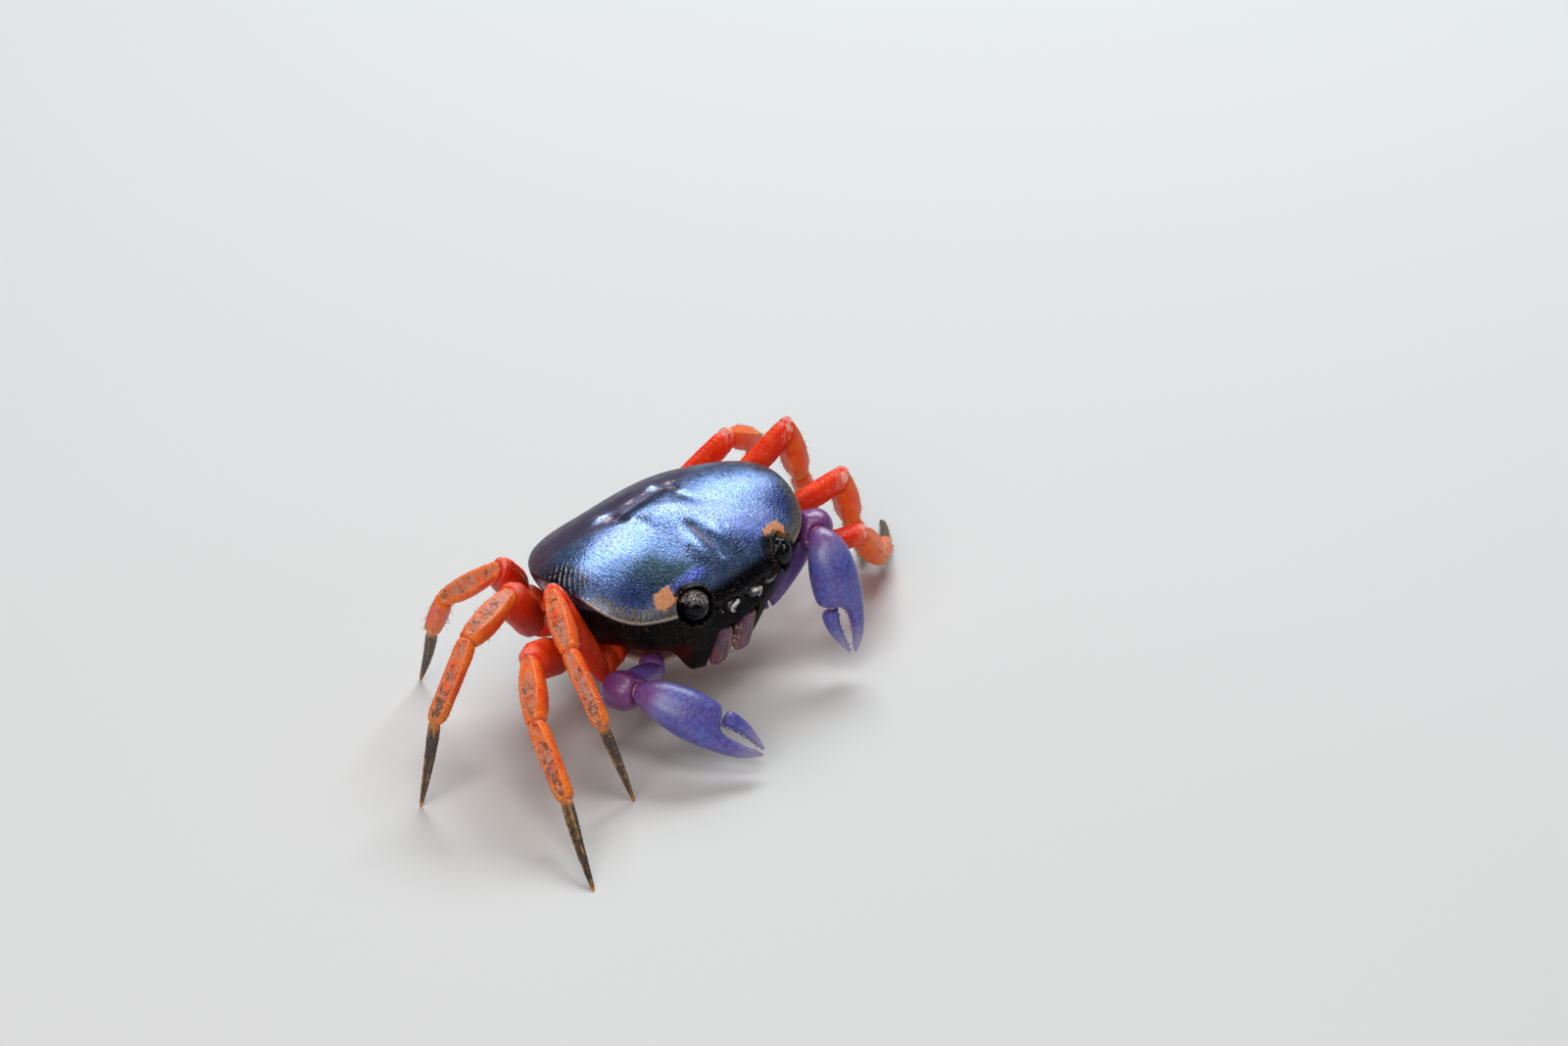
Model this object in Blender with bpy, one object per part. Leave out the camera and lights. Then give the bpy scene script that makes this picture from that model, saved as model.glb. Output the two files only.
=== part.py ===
# Halloween crab standing still on its eight walking legs, life size.
# Sizes below are millimetres and degrees. The crab faces -Y, its left is +X, up is +Z.
import math

import bmesh
import bpy
from mathutils import Matrix, Vector

MM = 0.001
GAP = 0.3

# Body frame: its origin is the middle of the shell, level with the shell's side ridge.
BODY_HEIGHT = 23.8
NOSE_DOWN = 6.7
LEFT_UP = 4.7

# Shell
SHELL_HALF_WIDTH = 22.5
SHELL_CENTRE_Y = -2.1
SHELL_FRONT = 14.4
SHELL_BACK = 19.8
DOME_HEIGHT = 5.9
SHELL_STEPS_ROUND = 64
SHELL_FLOOR = -8.8

# Eyes
EYE_RADIUS = 2.35
EYE_PLACE = (9.5, -14.5, -0.1)
EYE_AIM = (0.42, -0.80, 0.42)
CUP_RADIUS = 3.4
CUP_DEEPER = 0.7
FEELER_PLACE = (2.5, -15.7, -2.75)
FEELER_RADIUS = 1.25

# Under body
THORAX_TOP = -9.1
THORAX_BOTTOM = -14.2
ABDOMEN_THICK = 1.3

# Walking legs, counted 2 to 5 from the front: merus, carpus, propodus, dactyl
LEG_BASE = {2: (19.6, -6.0, -10.8), 3: (20.2, 0.8, -10.8), 4: (18.8, 8.0, -10.0), 5: (15.6, 14.0, -8.6)}
LEG_LENGTH = {
    2: (16.2, 10.4, 11.8, 14.8),
    3: (18.4, 10.8, 12.3, 14.4),
    4: (19.3, 11.1, 12.6, 15.3),
    5: (16.0, 9.4, 11.2, 12.8),
}
LEG_SIZE = {2: 0.95, 3: 1.0, 4: 1.0, 5: 0.88}
# Joint settings: each pair is how far the piece turns to the front and how steeply it rises.
# The last piece has only its turn, because it reaches down to the floor.
LEG_POSE = {
    ("right", 2): ((-13, 60), (54, -17), (73, -42), 162),
    ("right", 3): ((26, 23), (46, -22), (67, -37), 59),
    ("right", 4): ((28, 39), (11, -10), (12, -43), -91),
    ("right", 5): ((27, 38), (-59, -34), (-119, -52), -115),
    ("left", 2): ((18, 0), (-12, -45), (-32, -16), -40),
    ("left", 3): ((25, 22), (-18, -60), (-20, -50), -42),
    ("left", 4): ((21, 38), (-14, -60), (-24, -52), -38),
    ("left", 5): ((13, 30), (-10, -24), (-39, -65), -60),
}

# Claw arms in the body frame: where the arm starts, the middle of the wrist piece,
# the way the hand leaves it, and the way the hand then points
CLAW_POSE = {
    "left": ((13.0, -10.4, -12.4), (21.8, -11.7, -3.4), (-0.50, -0.85, 0.20), (-0.05, -0.42, -0.91)),
    "right": ((13.0, -10.4, -12.4), (22.8, -12.8, -9.2), (-0.20, -0.95, 0.20), (-0.45, -0.80, -0.40)),
}
WRIST_RADIUS = 3.1
ELBOW_REACH = 2.4
WRIST_REACH = 2.4
PALM_LENGTH = 7.0
FINGER_LENGTH = 8.2


def reset():
    for item in list(bpy.data.objects):
        bpy.data.objects.remove(item, do_unlink=True)
    for mesh in list(bpy.data.meshes):
        bpy.data.meshes.remove(mesh)
    crab = bpy.data.collections.new("halloween_crab")
    tools = bpy.data.collections.new("cutters")
    bpy.context.scene.collection.children.link(crab)
    bpy.context.scene.collection.children.link(tools)
    return crab, tools


def smoothstep(low, high, value):
    t = min(1.0, max(0.0, (value - low) / (high - low)))
    return t * t * (3 - 2 * t)


def between(value, stops):
    # Look-up in a short list of (place, value) stops, on a smooth curve that is flat at both ends.
    last = len(stops) - 1
    if value <= stops[0][0]:
        return stops[0][1]
    if value >= stops[last][0]:
        return stops[last][1]
    slopes = [0.0] * (last + 1)
    for k in range(1, last):
        before = (stops[k][1] - stops[k - 1][1]) / (stops[k][0] - stops[k - 1][0])
        after = (stops[k + 1][1] - stops[k][1]) / (stops[k + 1][0] - stops[k][0])
        if before * after > 0:
            slopes[k] = 2 * before * after / (before + after)
    k = max(i for i in range(last) if stops[i][0] <= value)
    width = stops[k + 1][0] - stops[k][0]
    t = (value - stops[k][0]) / width
    start, end = stops[k][1], stops[k + 1][1]
    lean = (1 - t) * slopes[k] * width - t * slopes[k + 1] * width
    return start + (end - start) * t * t * (3 - 2 * t) + t * (1 - t) * lean


def bump(distance, reach):
    # 1 at the middle, 0 at the reach, flat at both.
    if distance >= reach:
        return 0.0
    return 0.5 + 0.5 * math.cos(math.pi * distance / reach)


TILT = Matrix.Rotation(math.radians(NOSE_DOWN), 3, "X") @ Matrix.Rotation(-math.radians(LEFT_UP), 3, "Y")


def to_world(point):
    return TILT @ Vector(point) + Vector((0, 0, BODY_HEIGHT))


def turn_to_world(direction):
    return TILT @ Vector(direction)


def make_material(name, colour, roughness):
    material = bpy.data.materials.new(name)
    material.use_nodes = True
    shader = material.node_tree.nodes["Principled BSDF"]
    shader.inputs["Base Color"].default_value = (*colour, 1)
    shader.inputs["Roughness"].default_value = roughness
    return material


def add_object(name, points, faces, home, smooth=True):
    mesh = bpy.data.meshes.new(name)
    mesh.from_pydata([Vector(p) * MM for p in points], [], faces)
    shape = bmesh.new()
    shape.from_mesh(mesh)
    bmesh.ops.recalc_face_normals(shape, faces=shape.faces)
    shape.to_mesh(mesh)
    shape.free()
    for face in mesh.polygons:
        face.use_smooth = smooth
    item = bpy.data.objects.new(name, mesh)
    home.objects.link(item)
    return item


def loft(name, rings, home, smooth=True):
    # Skin over rings that all have the same number of points, with a flat cap at each end.
    points = [p for ring in rings for p in ring]
    count = len(rings[0])
    faces = [list(range(count - 1, -1, -1))]
    for k in range(len(rings) - 1):
        a = k * count
        b = a + count
        for i in range(count):
            j = (i + 1) % count
            faces.append([a + i, a + j, b + j, b + i])
    last = (len(rings) - 1) * count
    faces.append(list(range(last, last + count)))
    return add_object(name, points, faces, home, smooth)


def apply_modifier(item, modifier):
    bpy.context.view_layer.objects.active = item
    for other in bpy.context.selected_objects:
        other.select_set(False)
    item.select_set(True)
    bpy.ops.object.modifier_apply(modifier=modifier.name)


def cut(item, cutter, solver="EXACT"):
    cutter.hide_render = True
    cutter.display_type = "WIRE"
    modifier = item.modifiers.new("cut", "BOOLEAN")
    modifier.operation = "DIFFERENCE"
    modifier.solver = solver
    modifier.object = cutter
    apply_modifier(item, modifier)
    bpy.data.objects.remove(cutter, do_unlink=True)


def fuse(item, extras, solver="EXACT"):
    # Melt closed lumps into a piece with one union.
    group = bpy.data.collections.new("extras")
    bpy.context.scene.collection.children.link(group)
    for extra in extras:
        for home in list(extra.users_collection):
            home.objects.unlink(extra)
        group.objects.link(extra)
    modifier = item.modifiers.new("fuse", "BOOLEAN")
    modifier.operation = "UNION"
    modifier.operand_type = "COLLECTION"
    modifier.solver = solver
    modifier.collection = group
    apply_modifier(item, modifier)
    for extra in extras:
        bpy.data.objects.remove(extra, do_unlink=True)
    bpy.data.collections.remove(group)


def section(count, half_thick, half_high, square, keel):
    # One closed outline round a limb: thickness across, height up and down.
    # square 2 is an oval and larger is boxier. keel lifts the four corner lines.
    ring = []
    for i in range(count):
        angle = 2 * math.pi * (i + 0.5) / count
        c = math.cos(angle)
        s = math.sin(angle)
        reach = (abs(c) ** square + abs(s) ** square) ** (-1 / square)
        lift = 1 + keel * max(0.0, math.cos(4 * (angle - math.pi / 4))) ** 2
        ring.append((c * reach * half_thick * lift, s * reach * half_high * lift))
    return ring


def limb(name, start, end, start_plane, end_plane, across, shape, home, count=10, bow=0.0, gaps=(1, 1)):
    # A limb piece from joint to joint. shape is a list of
    # (place along, half thickness, half height, squareness, keel, centre lift).
    # Each end ring lies in its joint's plane, half a gap short of it.
    start = Vector(start)
    end = Vector(end)
    along = (end - start).normalized()
    length = (end - start).length
    across = (across - along * across.dot(along)).normalized()
    up = across.cross(along)
    if up.z < 0:
        up = -up
    rings = []
    for place, thick, high, square, keel, lift in shape:
        ring = []
        for x, y in section(count, thick, high, square, keel):
            offset = across * x + up * (y + lift + bow * math.sin(math.pi * place))
            slide_a = (GAP / 2 * gaps[0] - start_plane.dot(offset)) / start_plane.dot(along)
            slide_b = length - (GAP / 2 * gaps[1] + end_plane.dot(offset)) / end_plane.dot(along)
            slide = slide_a + (slide_b - slide_a) * place
            ring.append(start + offset + along * slide)
        rings.append(ring)
    return loft(name, rings, home)


def aim(side, turn, rise):
    # Direction of a limb piece: turn is degrees to the front of straight out.
    t = math.radians(turn)
    r = math.radians(rise)
    return Vector((side * math.cos(t) * math.cos(r), -math.sin(t) * math.cos(r), math.sin(r)))


MERUS = (
    (0.0, 1.45, 1.9, 2.2, 0.0, 0.0),
    (0.12, 1.6, 2.4, 2.1, 0.0, 0.0),
    (0.4, 1.75, 2.9, 1.9, 0.0, 0.1),
    (0.75, 1.85, 2.85, 1.9, 0.0, 0.1),
    (0.92, 1.8, 2.5, 2.2, 0.0, 0.0),
    (1.0, 1.6, 2.0, 2.3, 0.0, 0.0),
)
CARPUS = (
    (0.0, 1.42, 1.5, 2.3, 0.0, 0.0),
    (0.2, 1.75, 1.8, 2.4, 0.02, 0.05),
    (0.5, 1.95, 1.95, 2.4, 0.04, 0.1),
    (0.8, 1.8, 1.8, 2.4, 0.04, 0.05),
    (1.0, 1.4, 1.38, 2.3, 0.0, 0.0),
)
PROPODUS = (
    (0.0, 1.28, 1.25, 2.3, 0.0, 0.0),
    (0.15, 1.5, 1.45, 2.4, 0.04, 0.0),
    (0.6, 1.45, 1.38, 2.4, 0.05, 0.0),
    (0.88, 1.42, 1.35, 2.4, 0.04, 0.0),
    (1.0, 1.1, 1.05, 2.3, 0.0, 0.0),
)
DACTYL = (
    (0.0, 0.88, 0.84, 2.3, 0.0, 0.0),
    (0.12, 0.9, 0.86, 2.3, 0.05, 0.0),
    (0.45, 0.74, 0.7, 2.3, 0.06, 0.0),
    (0.8, 0.47, 0.47, 2.3, 0.04, 0.0),
    (1.0, 0.28, 0.28, 2.2, 0.0, 0.0),
)
COXA = (
    (0.0, 1.9, 2.0, 2.2, 0.0, 0.0),
    (0.3, 2.1, 2.05, 2.2, 0.0, 0.0),
    (0.5, 1.6, 1.85, 2.2, 0.0, 0.0),
    (0.8, 1.6, 2.0, 2.2, 0.0, 0.0),
    (1.0, 1.35, 1.75, 2.2, 0.0, 0.0),
)


def grow(shape, size):
    return tuple((t, a * size, b * size, sq, k, c * size) for t, a, b, sq, k, c in shape)


def halfway(a, b):
    return (a.normalized() + b.normalized()).normalized()


# Each flat facet of the under body faces one limb: (turn to the front, distance out).
FACETS = {1: (52, 13.4), 2: (24, 13.3), 3: (2, 12.9), 4: (-24, 13.7), 5: (-50, 15.2)}


def facet_point(turn, out, other_turn, other_out):
    # Corner shared by two facets, on the left side.
    t1 = math.radians(turn)
    t2 = math.radians(other_turn)
    a = Vector((math.cos(t1), -math.sin(t1)))
    b = Vector((math.cos(t2), -math.sin(t2)))
    det = a.x * b.y - a.y * b.x
    return Vector(((out * b.y - other_out * a.y) / det, (a.x * other_out - b.x * out) / det))


def leg(side_name, number, home, materials):
    side = 1 if side_name == "left" else -1
    base_x, base_y, base_z = LEG_BASE[number]
    base = to_world((side * base_x, base_y, base_z))
    size = LEG_SIZE[number]
    lengths = LEG_LENGTH[number]
    pose = LEG_POSE[(side_name, number)]
    joints = [base]
    for (turn, rise), length in zip(pose[:3], lengths[:3]):
        joints.append(joints[-1] + aim(side, turn, rise) * length)
    drop = math.degrees(math.asin(-joints[-1].z / lengths[3]))
    joints.append(joints[-1] + aim(side, pose[3], drop) * lengths[3])
    runs = [(b - a).normalized() for a, b in zip(joints, joints[1:])]

    turn, out = FACETS[number]
    t = math.radians(turn)
    normal = Vector((side * math.cos(t), -math.sin(t), 0))
    inner = Vector((side * base_x, base_y, base_z))
    inner = inner - normal * (inner.dot(normal) - out)
    inner.z = -11.5
    root = to_world(inner)
    coxa_run = (base - root).normalized()
    planes = [turn_to_world(normal), halfway(coxa_run, runs[0])]
    for a, b in zip(runs, runs[1:]):
        planes.append(halfway(a, b))
    planes.append(Vector((0, 0, -1)))

    spread = joints[4] - joints[0]
    across = spread.cross(joints[1] - joints[0]).normalized()
    tag = side_name + "_" + str(number)
    pieces = (
        ("coxa", root, base, grow(COXA, size), 10, 0.0),
        ("merus", joints[0], joints[1], grow(MERUS, size), 10, 0.0),
        ("carpus", joints[1], joints[2], grow(CARPUS, size), 12, 0.0),
        ("propodus", joints[2], joints[3], grow(PROPODUS, size), 12, 0.0),
        ("dactyl", joints[3], joints[4], grow(DACTYL, size), 8, 0.35),
    )
    for k, (kind, a, b, shape, count, bow) in enumerate(pieces):
        ends = (2 if k == 0 else 1, 0 if kind == "dactyl" else 1)
        item = limb("leg_" + tag + "_" + kind, a, b, planes[k], planes[k + 1], across, shape,
                    home, count, bow, ends)
        item.data.materials.append(materials["dark" if kind == "dactyl" else "leg"])


def margin(turn):
    # Edge of the shell seen from above. turn is degrees from straight ahead to the left.
    s = math.sin(math.radians(turn))
    c = math.cos(math.radians(turn))
    reach_y = SHELL_FRONT if c > 0 else SHELL_BACK
    power = 2.5 if c > 0 else 2.08
    reach = (abs(s / SHELL_HALF_WIDTH) ** power + abs(c / reach_y) ** power) ** (-1 / power)
    return reach * s, SHELL_CENTRE_Y - reach * c


MARGIN_Z = ((0, -1.0), (22, -0.5), (38, 0.1), (60, 0.0), (90, 2.7), (130, -1.9), (180, -5.4))
DOME_POWER = ((0, 1.6), (45, 1.5), (90, 1.63), (180, 1.2))
MIDDLE_Z = -0.8
MIDDLE_POWER = 1.5
WALL_BOTTOM = ((0, -14.3), (32, -13.8), (52, SHELL_FLOOR), (180, SHELL_FLOOR))
WALL_TUCK = ((0, 0.16), (50, 0.24), (77, 0.30), (95, 0.20), (111, 0.28), (150, 0.14), (180, 0.1))


def shell_point(turn, t):
    # t from 0 at the top of the dome to 1 at the ridge, then to 2 at the wall's foot.
    away = abs((turn + 180) % 360 - 180)
    edge_x, edge_y = margin(turn)
    edge_z = between(away, MARGIN_Z)
    if t <= 1:
        outer = smoothstep(0.1, 0.9, t)
        edge_z = MIDDLE_Z + (edge_z - MIDDLE_Z) * outer
        power = MIDDLE_POWER + (between(away, DOME_POWER) - MIDDLE_POWER) * outer
        bulge = max(0.0, 1 - t ** 1.45) ** (1 / power)
        x = edge_x * t
        y = edge_y * t
        z = edge_z + (DOME_HEIGHT - edge_z) * bulge
        z -= 0.55 * bump(math.hypot(abs(x) - 6.7, (y - 3.3) * 0.8), 2.6)
        z -= 0.35 * bump(abs(x), 1.2) * smoothstep(-3, -6, y) * smoothstep(-14, -11, y)
        return Vector((x, y, z))
    s = t - 1
    tuck = 1 - between(away, WALL_TUCK) * s ** 1.5
    tuck -= 0.06 * bump(abs(s - 0.22), 0.22) * (1 - smoothstep(20, 34, away))
    foot = between(away, WALL_BOTTOM)
    return Vector((edge_x * tuck, SHELL_CENTRE_Y + (edge_y - SHELL_CENTRE_Y) * tuck, edge_z + (foot - edge_z) * s))


def shell(home, tools, materials):
    places = [0.08, 0.2, 0.32, 0.44, 0.56, 0.68, 0.78, 0.86, 0.92, 0.97, 1.0, 1.06, 1.2, 1.36, 1.6, 1.85, 2.0]
    rings = []
    for t in places:
        ring = []
        for i in range(SHELL_STEPS_ROUND):
            ring.append(to_world(shell_point(360 * i / SHELL_STEPS_ROUND, t)))
        rings.append(ring)
    floor_ring = []
    for i in range(SHELL_STEPS_ROUND):
        foot = shell_point(360 * i / SHELL_STEPS_ROUND, 2.0)
        floor_ring.append(to_world((foot.x * 0.86, foot.y * 0.86, SHELL_FLOOR)))
    rings.append(floor_ring)
    item = loft("carapace", rings, home)
    fuse(item, [eye_cup(1, tools), eye_cup(-1, tools)])
    for side in (1, -1):
        aim_eye = Vector((side * EYE_AIM[0], EYE_AIM[1], EYE_AIM[2])).normalized()
        centre = Vector((side * EYE_PLACE[0], EYE_PLACE[1], EYE_PLACE[2]))
        cut(item, socket(centre, aim_eye, EYE_RADIUS + GAP, 1.17, tools))
        centre = Vector((side * FEELER_PLACE[0], FEELER_PLACE[1], FEELER_PLACE[2]))
        cut(item, socket(centre, Vector((0, -1, -0.2)).normalized(), FEELER_RADIUS + GAP, 1.1, tools))
    cut(item, mouth_recess(tools))
    item.data.materials.append(materials["shell"])
    return item


def eye_cup(side, tools):
    # Swelling of the shell that carries an eye socket.
    aim_eye = Vector((side * EYE_AIM[0], EYE_AIM[1], EYE_AIM[2])).normalized()
    centre = Vector((side * EYE_PLACE[0], EYE_PLACE[1], EYE_PLACE[2])) - aim_eye * CUP_DEEPER
    return ball("cup", centre, aim_eye, CUP_RADIUS, 1.0, tools, 28, 14)


def socket(centre, direction, radius, flare, tools):
    # A round-bottomed hole that widens outwards.
    side = direction.orthogonal().normalized()
    other = direction.cross(side)
    stations = []
    for k in range(1, 7):
        angle = math.pi / 2 * (1 - k / 6)
        stations.append((-radius * math.sin(angle), radius * math.cos(angle)))
    stations[0] = (-radius * 0.97, radius * 0.26)
    stations.append((1.0, radius * flare))
    stations.append((5.0, radius * (flare + 0.35)))
    rings = []
    for s, r in stations:
        ring = []
        for i in range(20):
            a = 2 * math.pi * i / 20
            ring.append(to_world(centre + direction * s + side * (r * math.cos(a)) + other * (r * math.sin(a))))
        rings.append(ring)
    return loft("socket", rings, tools)


MOUTH_HALF = 4.9
MOUTH_TOP = -6.6
MOUTH_BACK = -13.0


def mouth_recess(tools):
    # Box that opens the front wall for the two mouth plates.
    rings = []
    for y in (MOUTH_BACK, -22.0):
        ring = []
        for x, z in ((-1, 0), (1, 0), (1, 1), (-1, 1)):
            ring.append(to_world((x * MOUTH_HALF, y, MOUTH_TOP if z else -16.0)))
        rings.append(ring)
    return loft("recess", rings, tools, False)


def mouth_plate(side, home, materials):
    rings = []
    outline = ((-14.0, 1.2, 4.0), (-13.4, 0.7, 4.5), (-11.4, 0.35, 4.6), (-10.0, 0.3, 4.6), (-9.7, 0.5, 4.4),
               (-9.4, 0.5, 4.6), (-8.2, 0.9, 4.5), (-7.4, 1.4, 4.2), (-7.0, 2.0, 3.6))
    for z, inner, outer in outline:
        middle = (inner + outer) / 2
        half = (outer - inner) / 2
        front = -15.6 - 0.15 * (z + 10)
        deep = (-13.3 - front) / 2
        ring = [to_world((side * (middle + x), front + deep + y, z)) for x, y in section(14, half, deep, 3.0, 0.0)]
        rings.append(ring)
    name = "maxilliped_left" if side > 0 else "maxilliped_right"
    item = loft(name, rings, home)
    item.data.materials.append(materials["claw"])
    return item


def ball(name, centre, direction, radius, stretch, home, steps=24, rings_count=12):
    side = direction.orthogonal().normalized()
    other = direction.cross(side)
    rings = []
    for k in range(1, rings_count):
        a = math.pi * k / rings_count
        ring = []
        for i in range(steps):
            b = 2 * math.pi * i / steps
            out = side * math.cos(b) + other * math.sin(b)
            ring.append(to_world(centre - direction * (radius * stretch * math.cos(a)) + out * (radius * math.sin(a))))
        rings.append(ring)
    return loft(name, rings, home)


def head(home, materials):
    for side, word in ((1, "left"), (-1, "right")):
        aim_eye = Vector((side * EYE_AIM[0], EYE_AIM[1], EYE_AIM[2])).normalized()
        centre = Vector((side * EYE_PLACE[0], EYE_PLACE[1], EYE_PLACE[2]))
        eye = ball("eye_" + word, centre, aim_eye, EYE_RADIUS, 1.0, home)
        eye.data.materials.append(materials["eye"])
        centre = Vector((side * FEELER_PLACE[0], FEELER_PLACE[1], FEELER_PLACE[2]))
        way = Vector((0, -1, -0.2)).normalized()
        feeler = ball("antennule_" + word, centre, way, FEELER_RADIUS, 1.0, home, 16, 8)
        feeler.data.materials.append(materials["feeler"])
        mouth_plate(side, home, materials)


def outline_below(scale, z):
    # Outline of the under body: straight facets that face the limbs.
    order = [1, 2, 3, 4, 5]
    corners = []
    first = facet_point(90, 10.2, *FACETS[1])
    corners.append(first)
    for a, b in zip(order, order[1:]):
        corners.append(facet_point(*FACETS[a], *FACETS[b]))
    corners.append(facet_point(*FACETS[5], -90, 15.0))
    left = [(c.x, c.y) for c in corners]
    right = [(-x, y) for x, y in reversed(left)]
    return [Vector((x * scale, y * scale, z)) for x, y in left + right]


def under_body(home, materials):
    rings = []
    for scale, z in ((1.0, THORAX_TOP), (1.0, -13.4), (0.93, THORAX_BOTTOM), (0.6, THORAX_BOTTOM - 0.5)):
        rings.append([to_world(p) for p in outline_below(scale, z)])
    item = loft("thorax", rings, home, False)
    item.data.materials.append(materials["claw"])

    # The narrow tail folded forwards under the body.
    low = THORAX_BOTTOM - 0.5 - GAP - ABDOMEN_THICK / 2
    stations = (
        (-4.5, low, 1.0, 0), (-2.5, low, 1.7, 0), (0.5, low, 2.2, 0), (4.0, low, 3.0, 0),
        (8.0, low, 4.2, 0), (12.0, low, 5.2, 0), (13.9, low + 0.2, 5.5, 25), (15.6, -14.1, 5.5, 62),
        (16.0, -12.2, 5.3, 88), (15.97, -9.9, 4.6, 90),
    )
    rings = []
    for y, z, half, lean in stations:
        t = math.radians(lean)
        ring = []
        for i in range(10):
            a = 2 * math.pi * i / 10
            deep = ABDOMEN_THICK / 2 * math.sin(a)
            ring.append(to_world((half * math.cos(a), y - deep * math.sin(t), z + deep * math.cos(t))))
        rings.append(ring)
    tail = loft("abdomen", rings, home)
    tail.data.materials.append(materials["claw"])


CLAW_COXA = (
    (0.0, 1.9, 2.0, 2.2, 0.0, 0.0),
    (0.5, 2.0, 2.1, 2.2, 0.0, 0.0),
    (1.0, 1.7, 1.8, 2.2, 0.0, 0.0),
)
CLAW_MERUS = (
    (0.0, 1.7, 1.8, 2.2, 0.0, 0.0),
    (0.3, 2.0, 2.2, 2.6, 0.04, 0.0),
    (0.75, 2.1, 2.2, 2.6, 0.06, 0.0),
    (1.0, 1.7, 1.7, 2.3, 0.0, 0.0),
)


def trim(item, point, normal):
    # Cut off what lies beyond a plane and close the cut with a flat face.
    shape = bmesh.new()
    shape.from_mesh(item.data)
    whole = list(shape.verts) + list(shape.edges) + list(shape.faces)
    done = bmesh.ops.bisect_plane(shape, geom=whole, plane_co=point * MM, plane_no=normal, clear_outer=True)
    rim = [e for e in done["geom_cut"] if isinstance(e, bmesh.types.BMEdge)]
    bmesh.ops.contextual_create(shape, geom=rim)
    bmesh.ops.recalc_face_normals(shape, faces=shape.faces)
    shape.to_mesh(item.data)
    shape.free()


def claw(word, home, materials):
    side = 1 if word == "left" else -1
    places = CLAW_POSE[word]
    base = Vector((side * places[0][0], places[0][1], places[0][2]))
    middle = Vector((side * places[1][0], places[1][1], places[1][2]))
    leave = Vector((side * places[2][0], places[2][1], places[2][2])).normalized()
    reach = Vector((side * places[3][0], places[3][1], places[3][2])).normalized()
    turn, out = FACETS[1]
    t = math.radians(turn)
    normal = Vector((side * math.cos(t), -math.sin(t), 0))
    root = to_world(base - normal * (base.dot(normal) - out))
    arm = (middle - base).normalized()
    elbow = to_world(middle - arm * ELBOW_REACH)
    wrist = to_world(middle + leave * WRIST_REACH)
    base = to_world(base)
    arm = turn_to_world(arm)
    leave = turn_to_world(leave)
    reach = turn_to_world(reach)
    hip = halfway(base - root, arm)
    across = arm.cross(leave).normalized()
    tag = "claw_" + word + "_"
    spans = (
        ("coxa", root, base, turn_to_world(normal), hip, CLAW_COXA, (2, 1)),
        ("merus", base, elbow, hip, arm, CLAW_MERUS, (1, 1)),
    )
    for kind, a, b, first, last, shape, ends in spans:
        item = limb(tag + kind, a, b, first, last, across, shape, home, 12, 0.0, ends)
        item.data.materials.append(materials["claw"])
    lump = ball(tag + "carpus", middle, TILT.inverted() @ across, WRIST_RADIUS, 0.92, home, 20, 12)
    trim(lump, elbow + arm * (GAP / 2), -arm)
    trim(lump, wrist - leave * (GAP / 2), leave)
    lump.data.materials.append(materials["claw"])
    hand(word, wrist, leave, reach, home, materials)


def hand(word, wrist, leave, reach, home, materials):
    # The hand bends out of the wrist, then runs straight into its fixed finger.
    # The moving finger lies beside it, on the inner side.
    side = 1 if word == "left" else -1
    wide = leave.cross(reach).normalized()
    if wide.dot(Vector((-side, 0, 0.5))) < 0:
        wide = -wide
    first = wrist + leave * (GAP / 2)
    corner = first + leave * 2.7
    turned = corner + reach * 3.0
    rings = []
    for t, thick, high in ((0.0, 1.5, 1.6), (0.3, 2.0, 2.4), (0.65, 2.4, 3.1), (1.0, 2.65, 3.5)):
        centre = first * (1 - t) ** 2 + corner * (2 * t * (1 - t)) + turned * t ** 2
        run = ((corner - first) * (1 - t) + (turned - corner) * t).normalized()
        across = run.cross(wide)
        rings.append([centre + across * x + wide * y for x, y in section(14, thick, high, 2.2, 0.0)])
    across = reach.cross(wide)
    grip = PALM_LENGTH
    tip = grip + FINGER_LENGTH
    stations = (
        (2.2, 2.8, 3.85, 0.0), (grip - 1.6, 2.7, 3.85, 0.0), (grip, 2.3, 3.6, -0.1),
        (grip + 0.35, 1.7, 1.45, -2.0), (grip + 2.8, 1.45, 1.25, -1.9),
        (grip + 5.6, 1.0, 0.95, -1.45), (tip - 1.0, 0.6, 0.6, -0.75), (tip, 0.3, 0.3, -0.35),
    )
    for s, thick, high, lift in stations:
        ring = []
        for x, y in section(14, thick, high, 2.2, 0.0):
            ring.append(turned + reach * s + across * x + wide * (y + lift))
        rings.append(ring)
    palm = loft("claw_" + word + "_hand", rings, home)
    palm.data.materials.append(materials["claw"])
    stations = (
        (grip + GAP + 0.35, 1.6, 1.35, 2.0), (grip + 2.0, 1.45, 1.3, 2.2), (grip + 4.6, 1.1, 1.0, 1.9),
        (tip - 1.6, 0.65, 0.65, 1.05), (tip - 0.2, 0.3, 0.3, 0.55),
    )
    rings = []
    for s, thick, high, lift in stations:
        ring = []
        for x, y in section(12, thick, high, 2.2, 0.0):
            ring.append(turned + reach * s + across * x + wide * (y + lift))
        rings.append(ring)
    finger = loft("claw_" + word + "_finger", rings, home)
    finger.data.materials.append(materials["claw"])


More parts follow.
